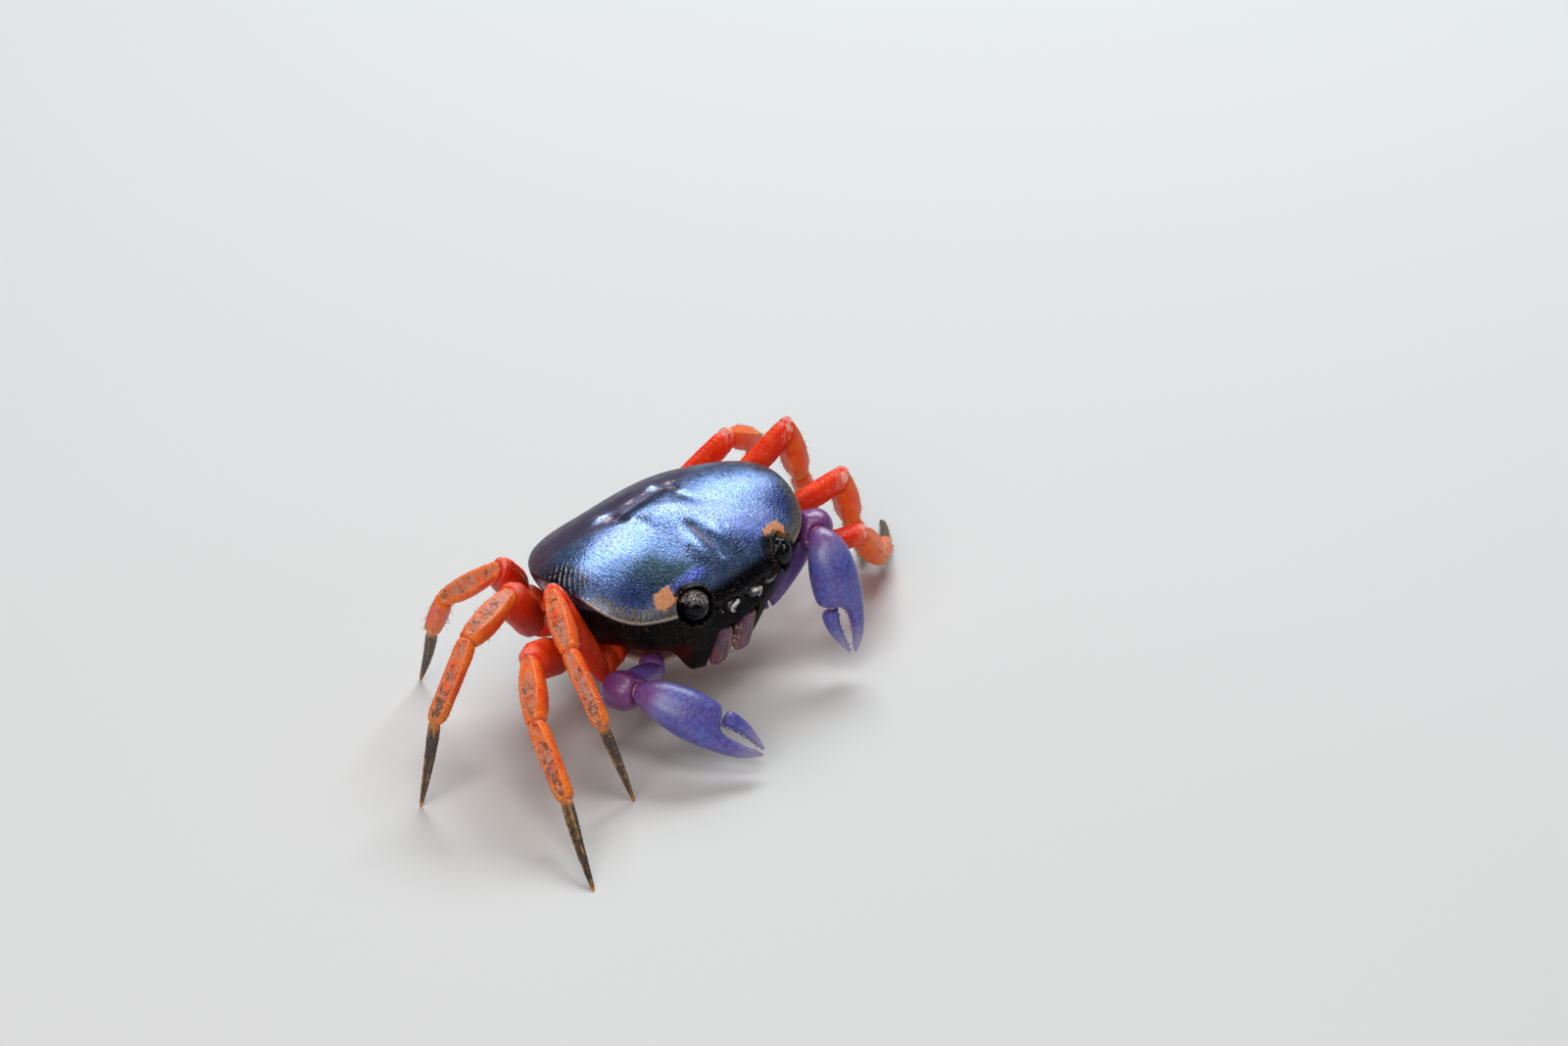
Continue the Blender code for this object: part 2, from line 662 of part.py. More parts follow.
def main():
    crab, tools = reset()
    materials = {
        "shell": make_material("shell", (0.05, 0.07, 0.16), 0.3),
        "leg": make_material("leg_red", (0.75, 0.12, 0.03), 0.45),
        "dark": make_material("leg_tip", (0.12, 0.07, 0.04), 0.6),
        "claw": make_material("claw_violet", (0.17, 0.1, 0.32), 0.4),
        "eye": make_material("eye_black", (0.01, 0.01, 0.01), 0.15),
        "feeler": make_material("feeler_pale", (0.6, 0.55, 0.5), 0.5),
    }
    shell(crab, tools, materials)
    head(crab, materials)
    under_body(crab, materials)
    for word in ("left", "right"):
        for number in (2, 3, 4, 5):
            leg(word, number, crab, materials)
        claw(word, crab, materials)
    bpy.data.collections.remove(tools)

    # Put the origin under the middle of the whole crab, on the floor.
    places = [v.co for item in crab.objects for v in item.data.vertices]
    middle_x = (min(p.x for p in places) + max(p.x for p in places)) / 2
    middle_y = (min(p.y for p in places) + max(p.y for p in places)) / 2
    for item in crab.objects:
        item.data.transform(Matrix.Translation((-middle_x, -middle_y, 0)))
    print("origin moved by", round(-middle_x / MM, 3), round(-middle_y / MM, 3))


main()
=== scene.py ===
# %% [markdown]
# # A Halloween crab, life size
# This lesson dresses a packed crab model. Its solids already have the true size and pose, and
# each cell here makes one finish or one piece of the real animal: the lacquered shell, the
# dusty red legs, the violet claws, the sunken eyes, the pale joint skins and the short bristles.

import math

import bpy
import numpy as np
from mathutils import Matrix, Vector


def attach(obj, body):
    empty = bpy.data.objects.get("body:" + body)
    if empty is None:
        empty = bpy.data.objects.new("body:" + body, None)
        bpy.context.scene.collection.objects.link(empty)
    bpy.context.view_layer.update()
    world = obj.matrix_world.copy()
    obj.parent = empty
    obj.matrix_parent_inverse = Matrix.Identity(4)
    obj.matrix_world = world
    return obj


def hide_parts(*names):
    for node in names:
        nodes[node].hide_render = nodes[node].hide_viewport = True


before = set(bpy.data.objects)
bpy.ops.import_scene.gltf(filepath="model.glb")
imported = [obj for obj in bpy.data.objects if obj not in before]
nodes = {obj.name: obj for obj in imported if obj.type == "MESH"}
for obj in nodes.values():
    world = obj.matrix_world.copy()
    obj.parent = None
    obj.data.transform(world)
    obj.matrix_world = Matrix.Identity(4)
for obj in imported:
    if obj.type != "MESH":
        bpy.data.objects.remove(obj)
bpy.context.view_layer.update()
MM = 0.001
print("solids loaded:", len(nodes))

# %% [markdown]
# ## Camera
# The picture was taken with a long lens from in front and to the right of the crab, looking down
# at 27 degrees. The middle of the shell lies left of the middle of the picture, so the camera is
# turned past it instead of being shifted.

# %% Set the camera
SHELL_MIDDLE = Vector((-6.285, 2.501, 23.8))
CAMERA_TURN = math.radians(49.34)
CAMERA_RISE = math.radians(27.0)
CAMERA_AWAY = 553.2
LENS = 85.0
FILM_WIDTH = 36.0
PICTURE_WIDTH = 1600
SHELL_LEFT_OF_MIDDLE = 125.1
SHELL_BELOW_MIDDLE = 15.7

right = Vector((math.cos(CAMERA_TURN), -math.sin(CAMERA_TURN), 0))
ahead = Vector((math.sin(CAMERA_TURN) * math.cos(CAMERA_RISE),
                math.cos(CAMERA_TURN) * math.cos(CAMERA_RISE), -math.sin(CAMERA_RISE)))
up = right.cross(ahead)
camera_place = SHELL_MIDDLE - ahead * CAMERA_AWAY
mm_per_pixel = CAMERA_AWAY / (PICTURE_WIDTH * LENS / FILM_WIDTH)
aim = SHELL_MIDDLE + (right * SHELL_LEFT_OF_MIDDLE + up * SHELL_BELOW_MIDDLE) * mm_per_pixel
ahead = (aim - camera_place).normalized()
right = ahead.cross(up).normalized()
up = right.cross(ahead)

lens = bpy.data.cameras.new("photo_camera")
lens.lens = LENS
lens.sensor_width = FILM_WIDTH
lens.clip_start = 0.01
lens.clip_end = 20
camera = bpy.data.objects.new("photo_camera", lens)
bpy.context.scene.collection.objects.link(camera)
turn = Matrix((right, up, -ahead)).transposed().to_4x4()
camera.matrix_world = Matrix.Translation(camera_place * MM) @ turn
bpy.context.scene.camera = camera
print("camera stands", round(camera_place.z), "mm above the floor")

# %% [markdown]
# ## Selecting, moving and painting points
# Operators act on whatever is selected, so each step starts from a clean selection. A new piece
# starts as a ball whose points are moved to their places, all at once and in millimetres. Numbers
# that the finishes need, such as how near a point is to the rim, are stored on the mesh.

# %% Helpers for pieces
def pick(piece):
    if bpy.context.object and bpy.context.object.mode != "OBJECT":
        bpy.ops.object.mode_set(mode="OBJECT")
    bpy.ops.object.select_all(action="DESELECT")
    piece.select_set(True)
    bpy.context.view_layer.objects.active = piece


def new_ball(name, segments, rings, radius=1):
    bpy.ops.object.select_all(action="DESELECT")
    bpy.ops.mesh.primitive_uv_sphere_add(segments=segments, ring_count=rings, radius=radius)
    ball = bpy.context.object
    ball.name = name
    return ball


def vectors_of(piece, kind):
    flat = np.empty(len(piece.data.vertices) * 3)
    piece.data.vertices.foreach_get(kind, flat)
    return flat.reshape(-1, 3)


def points_of(piece):
    return vectors_of(piece, "co") / MM


def move_points(piece, points):
    piece.data.vertices.foreach_set("co", (points * MM).astype(np.float32).ravel())
    piece.data.update()


def paint(piece, name, values):
    layer = piece.data.attributes.new(name, "FLOAT", "POINT")
    layer.data.foreach_set("value", np.zeros(len(layer.data), np.float32) + np.asarray(values, np.float32))


def smooth_faces(piece):
    piece.data.polygons.foreach_set("use_smooth", [True] * len(piece.data.polygons))


# %% [markdown]
# Three small curves shape nearly everything below: a soft step from 0 to 1, a bell that fades on
# both sides of a middle, and a bell over a flat place for the swellings of the shell.

# %% Steps and bells
def step(low, high, value):
    t = np.clip((value - low) / (high - low), 0, 1)
    return t * t * (3 - 2 * t)


def bell(value, middle, width):
    return np.exp(-((value - middle) / width) ** 2)


def swelling(x, y, place, size):
    return np.exp(-((x - place[0]) / size[0]) ** 2 - ((y - place[1]) / size[1]) ** 2)


# %% [markdown]
# ## Building finishes from nodes
# Every finish is made of the same few moves: a noise, a scatter of cells, a soft threshold and a
# mix of two colours. Small functions keep the node trees short, and each of them finds its tree
# from the sockets that it is given.

# %% Sums and mixes
def feed(socket, value):
    if isinstance(value, bpy.types.NodeSocket):
        socket.id_data.links.new(value, socket)
    elif isinstance(value, tuple) and len(value) == 3 and socket.type == "RGBA":
        socket.default_value = (*value, 1)
    elif value is not None:
        socket.default_value = value


def put(tree, kind, *values, **settings):
    made = tree.nodes.new(kind)
    for key, value in settings.items():
        setattr(made, key, value)
    for socket, value in zip(made.inputs, values):
        feed(socket, value)
    return made


def tree_of(*values):
    return next(value.id_data for value in values if isinstance(value, bpy.types.NodeSocket))


def calc(kind, a, b=None):
    return put(tree_of(a, b), "ShaderNodeMath", a, b, operation=kind).outputs[0]


def times(a, b):
    return calc("MULTIPLY", a, b)


def plus(a, b):
    return calc("ADD", a, b)


def less(a, b):
    return calc("SUBTRACT", a, b)


def largest(first, *others):
    for other in others:
        first = calc("MAXIMUM", first, other)
    return first


def mix(mask, a, b):
    made = put(tree_of(mask), "ShaderNodeMix", data_type="RGBA")
    for index, value in ((0, mask), (6, a), (7, b)):
        feed(made.inputs[index], value)
    return made.outputs[2]


def soft(value, low, high, start=0.0, end=1.0):
    made = put(tree_of(value), "ShaderNodeMapRange", value, low, high, start, end,
               interpolation_type="SMOOTHSTEP")
    return made.outputs[0]


# %% [markdown]
# The patterns are noises and scattered cells, sized in marks to a millimetre, and the numbers that
# were stored on a mesh. Object coordinates are in metres, so they are scaled to millimetres first.

# %% Patterns
def millimetres(tree):
    made = put(tree, "ShaderNodeVectorMath", operation="SCALE")
    feed(made.inputs[0], put(tree, "ShaderNodeTexCoord").outputs["Object"])
    feed(made.inputs["Scale"], 1 / MM)
    return made.outputs[0]


def noise(place, per_mm, detail=4.0, rough=0.55):
    made = put(tree_of(place), "ShaderNodeTexNoise")
    for key, value in {"Vector": place, "Scale": per_mm, "Detail": detail, "Roughness": rough}.items():
        feed(made.inputs[key], value)
    return made.outputs["Fac"]


def cells(place, per_mm, feature="F1"):
    made = put(tree_of(place), "ShaderNodeTexVoronoi", feature=feature)
    feed(made.inputs["Vector"], place)
    feed(made.inputs["Scale"], per_mm)
    return made.outputs["Distance"]


def stored(place, name):
    return put(tree_of(place), "ShaderNodeAttribute", attribute_name=name).outputs["Fac"]


def over(colour, mask, strength, tint):
    return mix(times(mask, strength), colour, tint)


# %% [markdown]
# A finish keeps its Principled shader and the place in millimetres at hand. Once its colour is
# mixed, the colour, the roughness and the fine relief are joined to the shader. A piece is then
# dressed: it takes the finish, rides on the crab's one body and stands for its solid, if it has one.

# %% Whole finishes
def new_finish(name, roughness, **plain):
    finish = bpy.data.materials.new(name)
    finish.use_nodes = True
    shader = finish.node_tree.nodes["Principled BSDF"]
    feed(shader.inputs["Roughness"], roughness)
    for key, value in plain.items():
        feed(shader.inputs[key.replace("_", " ")], value)
    return finish, shader, millimetres(finish.node_tree)


def join_shader(shader, colour, height, strength, depth_mm, roughness=None):
    feed(shader.inputs["Base Color"], colour)
    feed(shader.inputs["Roughness"], roughness)
    made = put(tree_of(colour), "ShaderNodeBump")
    for key, value in {"Strength": strength, "Distance": depth_mm * MM, "Height": height}.items():
        feed(made.inputs[key], value)
    feed(shader.inputs["Normal"], made.outputs["Normal"])


def dress(piece, finish, node=None):
    piece.data.materials.clear()
    piece.data.materials.append(finish)
    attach(piece, "root")
    if node:
        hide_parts(node)


# %% [markdown]
# ## Two shared effects
# The whole shell of a crab is a fine grained crust, and this crab has walked through wet leaves,
# so dirt lies in patches on it. Both effects are used by many finishes, so each is a node group.

# %% Grain and dirt as node groups
def new_group(name, inputs, outputs):
    group = bpy.data.node_groups.new(name, "ShaderNodeTree")
    group.interface.new_socket(name="Place", in_out="INPUT", socket_type="NodeSocketVector")
    for label, value in inputs.items():
        socket = group.interface.new_socket(name=label, in_out="INPUT", socket_type="NodeSocketFloat")
        socket.default_value = value
    for label in outputs:
        group.interface.new_socket(name=label, in_out="OUTPUT", socket_type="NodeSocketFloat")
    return group, group.nodes.new("NodeGroupInput").outputs, group.nodes.new("NodeGroupOutput").inputs


grain, entry, leave = new_group("crust_grain", {"Grains per mm": 2.5, "Pits": 0.5}, ("Height", "Grain"))
place = entry["Place"]
lumps = soft(cells(place, entry["Grains per mm"], "SMOOTH_F1"), 0.55, 0.05)
fine = noise(place, 9.0, 3.0)
pits = soft(cells(place, 1.3), 0.06, 0.16)
sunk = times(less(pits, 1.0), entry["Pits"])
feed(leave["Height"], plus(plus(times(lumps, 0.6), times(fine, 0.4)), sunk))
feed(leave["Grain"], lumps)

dirt, entry, leave = new_group("forest_dirt", {"Amount": 0.5, "Where": 1.0}, ("Mask", "Flecks"))
place = entry["Place"]
broad = noise(place, 0.35, 5.0, 0.65)
small = noise(place, 2.2, 4.0, 0.7)
level = less(plus(plus(times(broad, 0.6), times(small, 0.4)), entry["Amount"]), 0.5)
feed(leave["Mask"], times(soft(level, 0.42, 0.62), entry["Where"]))
feed(leave["Flecks"], times(soft(small, 0.60, 0.68), entry["Where"]))


def use_group(group, place, **values):
    made = tree_of(place).nodes.new("ShaderNodeGroup")
    made.node_tree = group
    feed(made.inputs["Place"], place)
    for key, value in values.items():
        feed(made.inputs[key.replace("_", " ")], value)
    return made.outputs


print("node groups:", grain.name, dirt.name)

# %% [markdown]
# ## The back shell
# A crab's back shell is one domed plate with a ridge along each side, a steep wall below the
# ridge, grooves that mark the organs' regions, and a cup for each eye. Measured curves give its
# outline, and no operator follows them, so a sphere is added and each of its points is moved to
# its place: from the top of the dome over the ridge, down the wall and in under the body.

# %% Curves of the shell
NOSE_DOWN = math.radians(6.7)
LEFT_UP = math.radians(4.7)
HALF_WIDTH = 22.5
OUTLINE_MIDDLE = -2.1
TO_FRONT = 14.4
TO_BACK = 19.8
DOME = 5.9
DOME_FOOT = -0.8
SHELL_FLOOR = -8.8
# Each curve has stops of (degrees round the shell from its front, value).
RIDGE_HEIGHT = ((0, -1.0), (22, -0.5), (38, 0.1), (60, 0.0), (90, 2.7), (130, -1.9), (180, -5.4))
ROUNDNESS = ((0, 1.6), (45, 1.5), (90, 1.63), (180, 1.2))
WALL_FOOT = ((0, -14.3), (32, -13.8), (52, SHELL_FLOOR), (180, SHELL_FLOOR))
WALL_LEAN = ((0, 0.16), (50, 0.24), (77, 0.30), (95, 0.20), (111, 0.28), (150, 0.14), (180, 0.1))
TILT = np.array(Matrix.Rotation(NOSE_DOWN, 3, "X") @ Matrix.Rotation(-LEFT_UP, 3, "Y"))
MIDDLE = np.array(SHELL_MIDDLE)


def to_world(points):
    return np.asarray(points) @ TILT.T + MIDDLE


def to_body(points):
    return (np.asarray(points) - MIDDLE) @ TILT


def between(value, stops):
    # A smooth curve through the stops that never swings past them.
    x, y = (np.array(column, float) for column in zip(*stops))
    rise = np.diff(y) / np.diff(x)
    product = rise[:-1] * rise[1:]
    total = np.where(product > 0, rise[:-1] + rise[1:], 1)
    slope = np.zeros(len(x))
    slope[1:-1] = np.where(product > 0, 2 * product / total, 0)
    value = np.clip(value, x[0], x[-1])
    k = np.clip(np.searchsorted(x, value, "right") - 1, 0, len(x) - 2)
    wide = x[k + 1] - x[k]
    t = (value - x[k]) / wide
    lean = ((1 - t) * slope[k] - t * slope[k + 1]) * wide
    return y[k] + (y[k + 1] - y[k]) * t * t * (3 - 2 * t) + t * (1 - t) * lean


def hump(distance, reach):
    return np.where(distance < reach, 0.5 + 0.5 * np.cos(np.pi * np.minimum(distance / reach, 1)), 0)


def outline(turn):
    s = np.sin(np.radians(turn))
    c = np.cos(np.radians(turn))
    deep = np.where(c > 0, TO_FRONT, TO_BACK)
    power = np.where(c > 0, 2.5, 2.08)
    reach = (np.abs(s / HALF_WIDTH) ** power + np.abs(c / deep) ** power) ** (-1 / power)
    return reach * s, OUTLINE_MIDDLE - reach * c


print("the shell is", 2 * HALF_WIDTH, "mm wide and", TO_FRONT + TO_BACK, "mm long")

# %% [markdown]
# The back has low swellings and grooves. Each swelling has a height, a place and a size in
# millimetres, and those of the first list lie on both sides. The grooves follow bent lines.

# %% Swellings and grooves of the back
SWELLINGS = ((0.45, (13.0, 1.0), (6.0, 7.5)), (0.36, (0, -1.8), (4.4, 3.6)), (0.36, (2.4, -9.2), (1.7, 2.8)),
             (0.20, (0, 7.2), (3.0, 2.4)), (0.12, (3.5, 5.6), (1.2, 0.8)), (0.16, (7.4, 6.4), (1.6, 0.9)),
             (0.16, (5.4, 1.6), (0.9, 0.7)), (-0.20, (6.1, 3.7), (1.2, 1.0)))
LONE_SWELLINGS = ((0.24, (3.7, 5.6), (1.1, 0.8)), (0.24, (-7.5, 6.4), (1.5, 0.9)))
VALLEY = ((0.0, 3.5), (1.6, 3.6), (3.8, 3.7), (6.0, 4.0), (10.5, 5.0))
BRANCH = ((6.1, 3.7), (4.7, 0.4), (5.2, -2.0), (8.8, -3.9), (14.5, -6.6))


def near_line(x, y, stops):
    # Distance from points to a bent line, and how far along it the nearest place is, 0 to 1.
    best = np.full(x.shape, 1e9)
    along = np.zeros(x.shape)
    for k in range(len(stops) - 1):
        a = np.array(stops[k], float)
        d = np.array(stops[k + 1], float) - a
        t = np.clip(((x - a[0]) * d[0] + (y - a[1]) * d[1]) / (d @ d), 0, 1)
        far = np.hypot(x - a[0] - t * d[0], y - a[1] - t * d[1])
        closer = far < best
        best = np.where(closer, far, best)
        along = np.where(closer, (k + t) / (len(stops) - 1), along)
    return best, along


def back_relief(x, y):
    rise = sum(height * swelling(np.abs(x), y, place, size) for height, place, size in SWELLINGS)
    rise = rise + sum(height * swelling(x, y, place, size) for height, place, size in LONE_SWELLINGS)
    far, along = near_line(np.abs(x), y, VALLEY)
    rise = rise - 0.34 * bell(far, 0, 1.15) * (1 - step(0.62, 1.0, along))
    far, along = near_line(np.abs(x), y, BRANCH)
    deep = (0.26 - 0.18 * step(0.2, 0.6, along)) * (1 - step(0.7, 1.0, along))
    rise = rise - deep * bell(far, 0, 0.8 + 0.8 * along)
    furrow = step(-3.8, -5.8, y) * step(-13.0, -10.6, y)
    return rise - (0.20 * bell(x, 0, 0.9) + 0.09 * bell(x, 0, 0.24)) * furrow


print("the furrow is cut to", np.round(back_relief(np.zeros(1), np.full(1, -9.0)), 2), "mm")

# %% [markdown]
# A place on the shell has two numbers: its turn round the shell, and t, which runs from 0 at the
# top of the dome to 1 at the ridge, 2 at the foot of the wall and 3 in the middle underneath.

# %% Add a sphere and move its points onto the shell
FOOT_ROLL = 0.15
FOOT_ROLL_IN = 0.14
WALL_FROM = 0.56
WALL_SHARE = 0.28
FLOOR_FROM = 0.84
FLOOR_SHARE = 0.16


def shell_surface(turn, t):
    away = np.abs((turn + 180) % 360 - 180)
    edge_x, edge_y = outline(turn)
    ridge = between(away, RIDGE_HEIGHT)
    top = np.minimum(t, 1)
    outer = step(0.1, 0.9, top)
    low = DOME_FOOT + (ridge - DOME_FOOT) * outer
    power = 1.5 + (between(away, ROUNDNESS) - 1.5) * outer
    bulge = np.maximum(0, 1 - top ** 1.45) ** (1 / power)
    x = edge_x * top
    y = edge_y * top
    z = low + (DOME - low) * bulge + back_relief(x, y) * (1 - step(0.86, 0.99, top))
    s = np.clip(t - 1, 0, 1)
    lean = 1 - between(away, WALL_LEAN) * s ** 1.5
    lean = lean - 0.06 * hump(np.abs(s - 0.22), 0.22) * (1 - step(20, 34, away))
    wall_y = OUTLINE_MIDDLE + (edge_y - OUTLINE_MIDDLE) * lean
    wall = np.stack([edge_x * lean, wall_y, ridge + (between(away, WALL_FOOT) - ridge) * s], -1)
    under = np.clip(t - 2, 0, 1)
    rolled = np.minimum(under / FOOT_ROLL, 1)
    closing = np.clip((under - FOOT_ROLL) / (1 - FOOT_ROLL), 0, 1)
    shrink = 1 - FOOT_ROLL_IN * rolled - (1 - FOOT_ROLL_IN) * closing
    drop = wall[:, 2] + (SHELL_FLOOR - wall[:, 2]) * rolled
    floor = np.stack([wall[:, 0] * shrink, wall[:, 1] * shrink, drop], -1)
    place = np.where((t <= 1)[:, None], np.stack([x, y, z], -1), wall)
    return np.where((t > 2)[:, None], floor, place)


shell = new_ball("shell_back", 300, 150)
ball = points_of(shell) * MM
turn_of = np.degrees(np.arctan2(ball[:, 0], -ball[:, 1]))
down = np.arccos(np.clip(ball[:, 2], -1, 1)) / np.pi
on_dome = np.sin(np.pi / 2 * np.minimum(down / WALL_FROM, 1))
on_wall = 1 + (np.maximum(down - WALL_FROM, 0) / WALL_SHARE) ** 1.15
t_of = np.where(down < WALL_FROM, on_dome, on_wall)
t_of = np.where(down >= FLOOR_FROM, 2 + (down - FLOOR_FROM) / FLOOR_SHARE, t_of)
move_points(shell, to_world(shell_surface(turn_of, t_of)))
print("shell points:", len(shell.data.vertices))

# %% [markdown]
# The eyes and the small feelers sit in cups. Each cup is a ball melted into the shell, and each
# hole is a ball with a widening mouth taken out of it.

# %% Cups, eye sockets and the mouth opening
def unit(v):
    return v / np.linalg.norm(v)


EYE_PLACE = np.array((9.5, -14.5, -0.1))
EYE_WAY = unit(np.array((0.42, -0.80, 0.42)))
EYE_RADIUS = 2.35
CUP_RADIUS = 3.4
CUP_BACK = 0.7
FEELER_PLACE = np.array((2.5, -15.7, -2.75))
FEELER_WAY = unit(np.array((0, -1, -0.2)))
FEELER_RADIUS = 1.25
GAP = 0.3
MOUTH_SIZE = (9.8, 9.0, 9.4)
MOUTH_PLACE = (0, -17.5, -11.3)
HOLE_LENGTH = 5
SIDES = ((1, "left"), (-1, "right"))
MIRROR = {1: np.array((1, 1, 1)), -1: np.array((-1, 1, 1))}


def turned_to(way):
    return Vector(TILT @ way).to_track_quat("Z", "Y").to_matrix().to_4x4()


def add_ball(name, middle, way, radius, segments=48, rings=32):
    made = new_ball(name, segments, rings, radius * MM)
    made.data.transform(Matrix.Translation(Vector(to_world(middle)) * MM) @ turned_to(way))
    return made


def add_hole(middle, way, radius, flare):
    made = add_ball("hole", middle, way, radius)
    back = turned_to(way).inverted() @ Matrix.Translation(-Vector(to_world(middle)) * MM)
    local = points_of(made) @ np.array(back.to_3x3()).T + np.array(back.translation) / MM
    out = local[:, 2] > 0
    stretch = np.clip(local[:, 2] / radius, 0, 1)
    wide = np.hypot(local[:, 0], local[:, 1]) + 1e-9
    first = (flare - 1) * np.minimum(stretch * HOLE_LENGTH * 0.9, 1)
    mouth = radius * (1 + first + 0.35 * np.clip(stretch * HOLE_LENGTH - 1, 0, 4) / 4)
    rim = np.arccos(np.clip(stretch, 0, 1)) / (np.pi / 2)
    reach = np.where(out, mouth * np.where(rim > 0.05, 1, rim / 0.05), wide)
    local[:, :2] *= (reach / wide)[:, None]
    local[:, 2] = np.where(out, stretch * HOLE_LENGTH, local[:, 2])
    forth = np.array(Matrix.Translation(Vector(to_world(middle)) * MM) @ turned_to(way))
    move_points(made, local @ forth[:3, :3].T + forth[:3, 3] / MM)
    return made


def apply_modifiers(piece):
    pick(piece)
    for modifier in list(piece.modifiers):
        bpy.ops.object.modifier_apply(modifier=modifier.name)


def melt(piece, other, kind):
    modifier = piece.modifiers.new("melt", "BOOLEAN")
    modifier.operation = kind
    modifier.solver = "EXACT"
    modifier.object = other
    apply_modifiers(piece)
    bpy.data.objects.remove(other, do_unlink=True)


for side, word in SIDES:
    middle = EYE_PLACE * MIRROR[side]
    way = EYE_WAY * MIRROR[side]
    melt(shell, add_ball("cup", middle - way * CUP_BACK, way, CUP_RADIUS), "UNION")
    melt(shell, add_hole(middle, way, EYE_RADIUS + GAP, 1.17), "DIFFERENCE")
    melt(shell, add_hole(FEELER_PLACE * MIRROR[side], FEELER_WAY, FEELER_RADIUS + GAP, 1.1), "DIFFERENCE")

bpy.ops.object.select_all(action="DESELECT")
bpy.ops.mesh.primitive_cube_add(size=1)
opening = bpy.context.object
corners = points_of(opening) * MM * np.array(MOUTH_SIZE) + np.array(MOUTH_PLACE)
move_points(opening, to_world(corners))
melt(shell, opening, "DIFFERENCE")
print("shell faces after the cups:", len(shell.data.polygons))

# %% [markdown]
# The finish of the shell changes from place to place: blue black lacquer on the back with painted
# reflections, painted highlights and painted shade in violet, green and dark purple, a cream ridge
# along each side, a black speckled wall with a dark red foot, and an orange patch behind each eye.
# Where each of these lies is worked out from the point's place on the body and stored on the mesh,
# so the pattern follows the surface.

# %% Store the ridge, the wall and the fine lines
x, y, z = to_body(points_of(shell)).T
side_x = np.abs(x)
ring = np.arange(0, 360.25, 0.25)
ring_x, ring_y = outline(ring)
ring_turn = np.unwrap(np.arctan2(ring_x, -ring_y))
here = np.arctan2(x, -y) % (2 * np.pi)
edge_turn = np.interp(here, ring_turn, ring)
away = np.abs((edge_turn + 180) % 360 - 180)
below = between(away, RIDGE_HEIGHT) - z
inward = np.interp(here, ring_turn, np.hypot(ring_x, ring_y)) - np.hypot(x, y)
to_ridge = np.hypot(np.maximum(inward, 0), below)
rounded = step(76, 90, away) * (1 - step(118, 134, away))
wall = step(0.05, 0.5, below - 2.0 * rounded) * step(3.4, 2.0, inward - np.maximum(below, 0) * 0.45)
past_eye = step(3.3, 4.0, np.hypot(side_x - EYE_PLACE[0], y - EYE_PLACE[1]))
paint(shell, "wall", wall)
paint(shell, "foot", step(5.4, 9.4, below) * wall)
paint(shell, "ridge", bell(to_ridge, 0, 0.19) * step(37, 43, away) * (1 - step(80, 90, away)) * past_eye)
on_side = step(26, 36, away) * (1 - step(74, 88, away))
paint(shell, "ridge_band", bell(to_ridge, 0, 2.2) * on_side * (1 - wall))
signed = np.where(below > 0, -1, 1) * to_ridge
paint(shell, "from_ridge", signed - 0.42 * np.maximum(0, away - 84) * step(80, 90, away))
lined = step(-3.0, -1.8, signed) * step(5.0, 3.0, signed)
paint(shell, "striae", lined * step(83, 89, away) * (1 - step(101, 109, away)))
print("points on the wall:", int((wall > 0.5).sum()))

# %% [markdown]
# Behind each eye lies an orange patch with straight sides, and pale scars curve beside the groove
# across the back. They are few and have an edge, so each is a listed outline or bent line instead
# of a noise, and how near a point lies to it is stored.

# %% Store the patches, scars and grooves
RIGHT_PATCH = [(-11.4, -11.0), (-14.3, -10.7), (-15.5, -12.4), (-14.6, -13.4), (-11.9, -13.3)]
LEFT_PATCH = [(12.8, -11.2), (9.3, -11.7), (8.3, -13.3), (11.9, -14.0), (13.2, -12.8)]
SCARS = [((0.9, 5.0), (2.4, 5.0)), ((7.9, 4.5), (6.4, 4.9)),
         ((4.4, 4.3), (5.7, 4.0), (6.3, 3.2), (5.4, 1.7), (4.7, 0.7), (3.6, 0.6))]


def outside(x, y, corners):
    # How far points lie outside a shape with straight sides, negative inside.
    far = np.full(x.shape, -1e9)
    middle = np.mean(corners, 0)
    for a, b in zip(corners, corners[1:] + corners[:1]):
        normal = unit(np.array((b[1] - a[1], a[0] - b[0])))
        normal = normal * (1 if normal @ (middle - np.array(a)) < 0 else -1)
        far = np.maximum(far, (x - a[0]) * normal[0] + (y - a[1]) * normal[1])
    return far


patch = np.minimum(outside(x, y, RIGHT_PATCH), outside(x, y, LEFT_PATCH))
paint(shell, "patch", patch + wall * 9)
scar = np.zeros(len(x))
for trail in SCARS:
    far, along = near_line(side_x + 0.3 * np.sin(y * 3.1), y, trail)
    scar = np.maximum(scar, bell(far, 0, 0.24))
paint(shell, "scar", scar * (z > 2))
# Painted shade: the groove across the back is painted dark where its far slope turns from the light.
far, along = near_line(side_x, y, VALLEY)
paint(shell, "valley", bell(far, 0, 1.3) * (1 - step(0.62, 0.95, along)) * (z > 0))
furrow = bell(x, 0, 0.24) * step(-4.2, -5.0, y) * step(-11.0, -8.4, y)
paint(shell, "furrow", furrow * step(0, 3, z))
print("points in the orange patches:", int((patch + wall < 0).sum()))
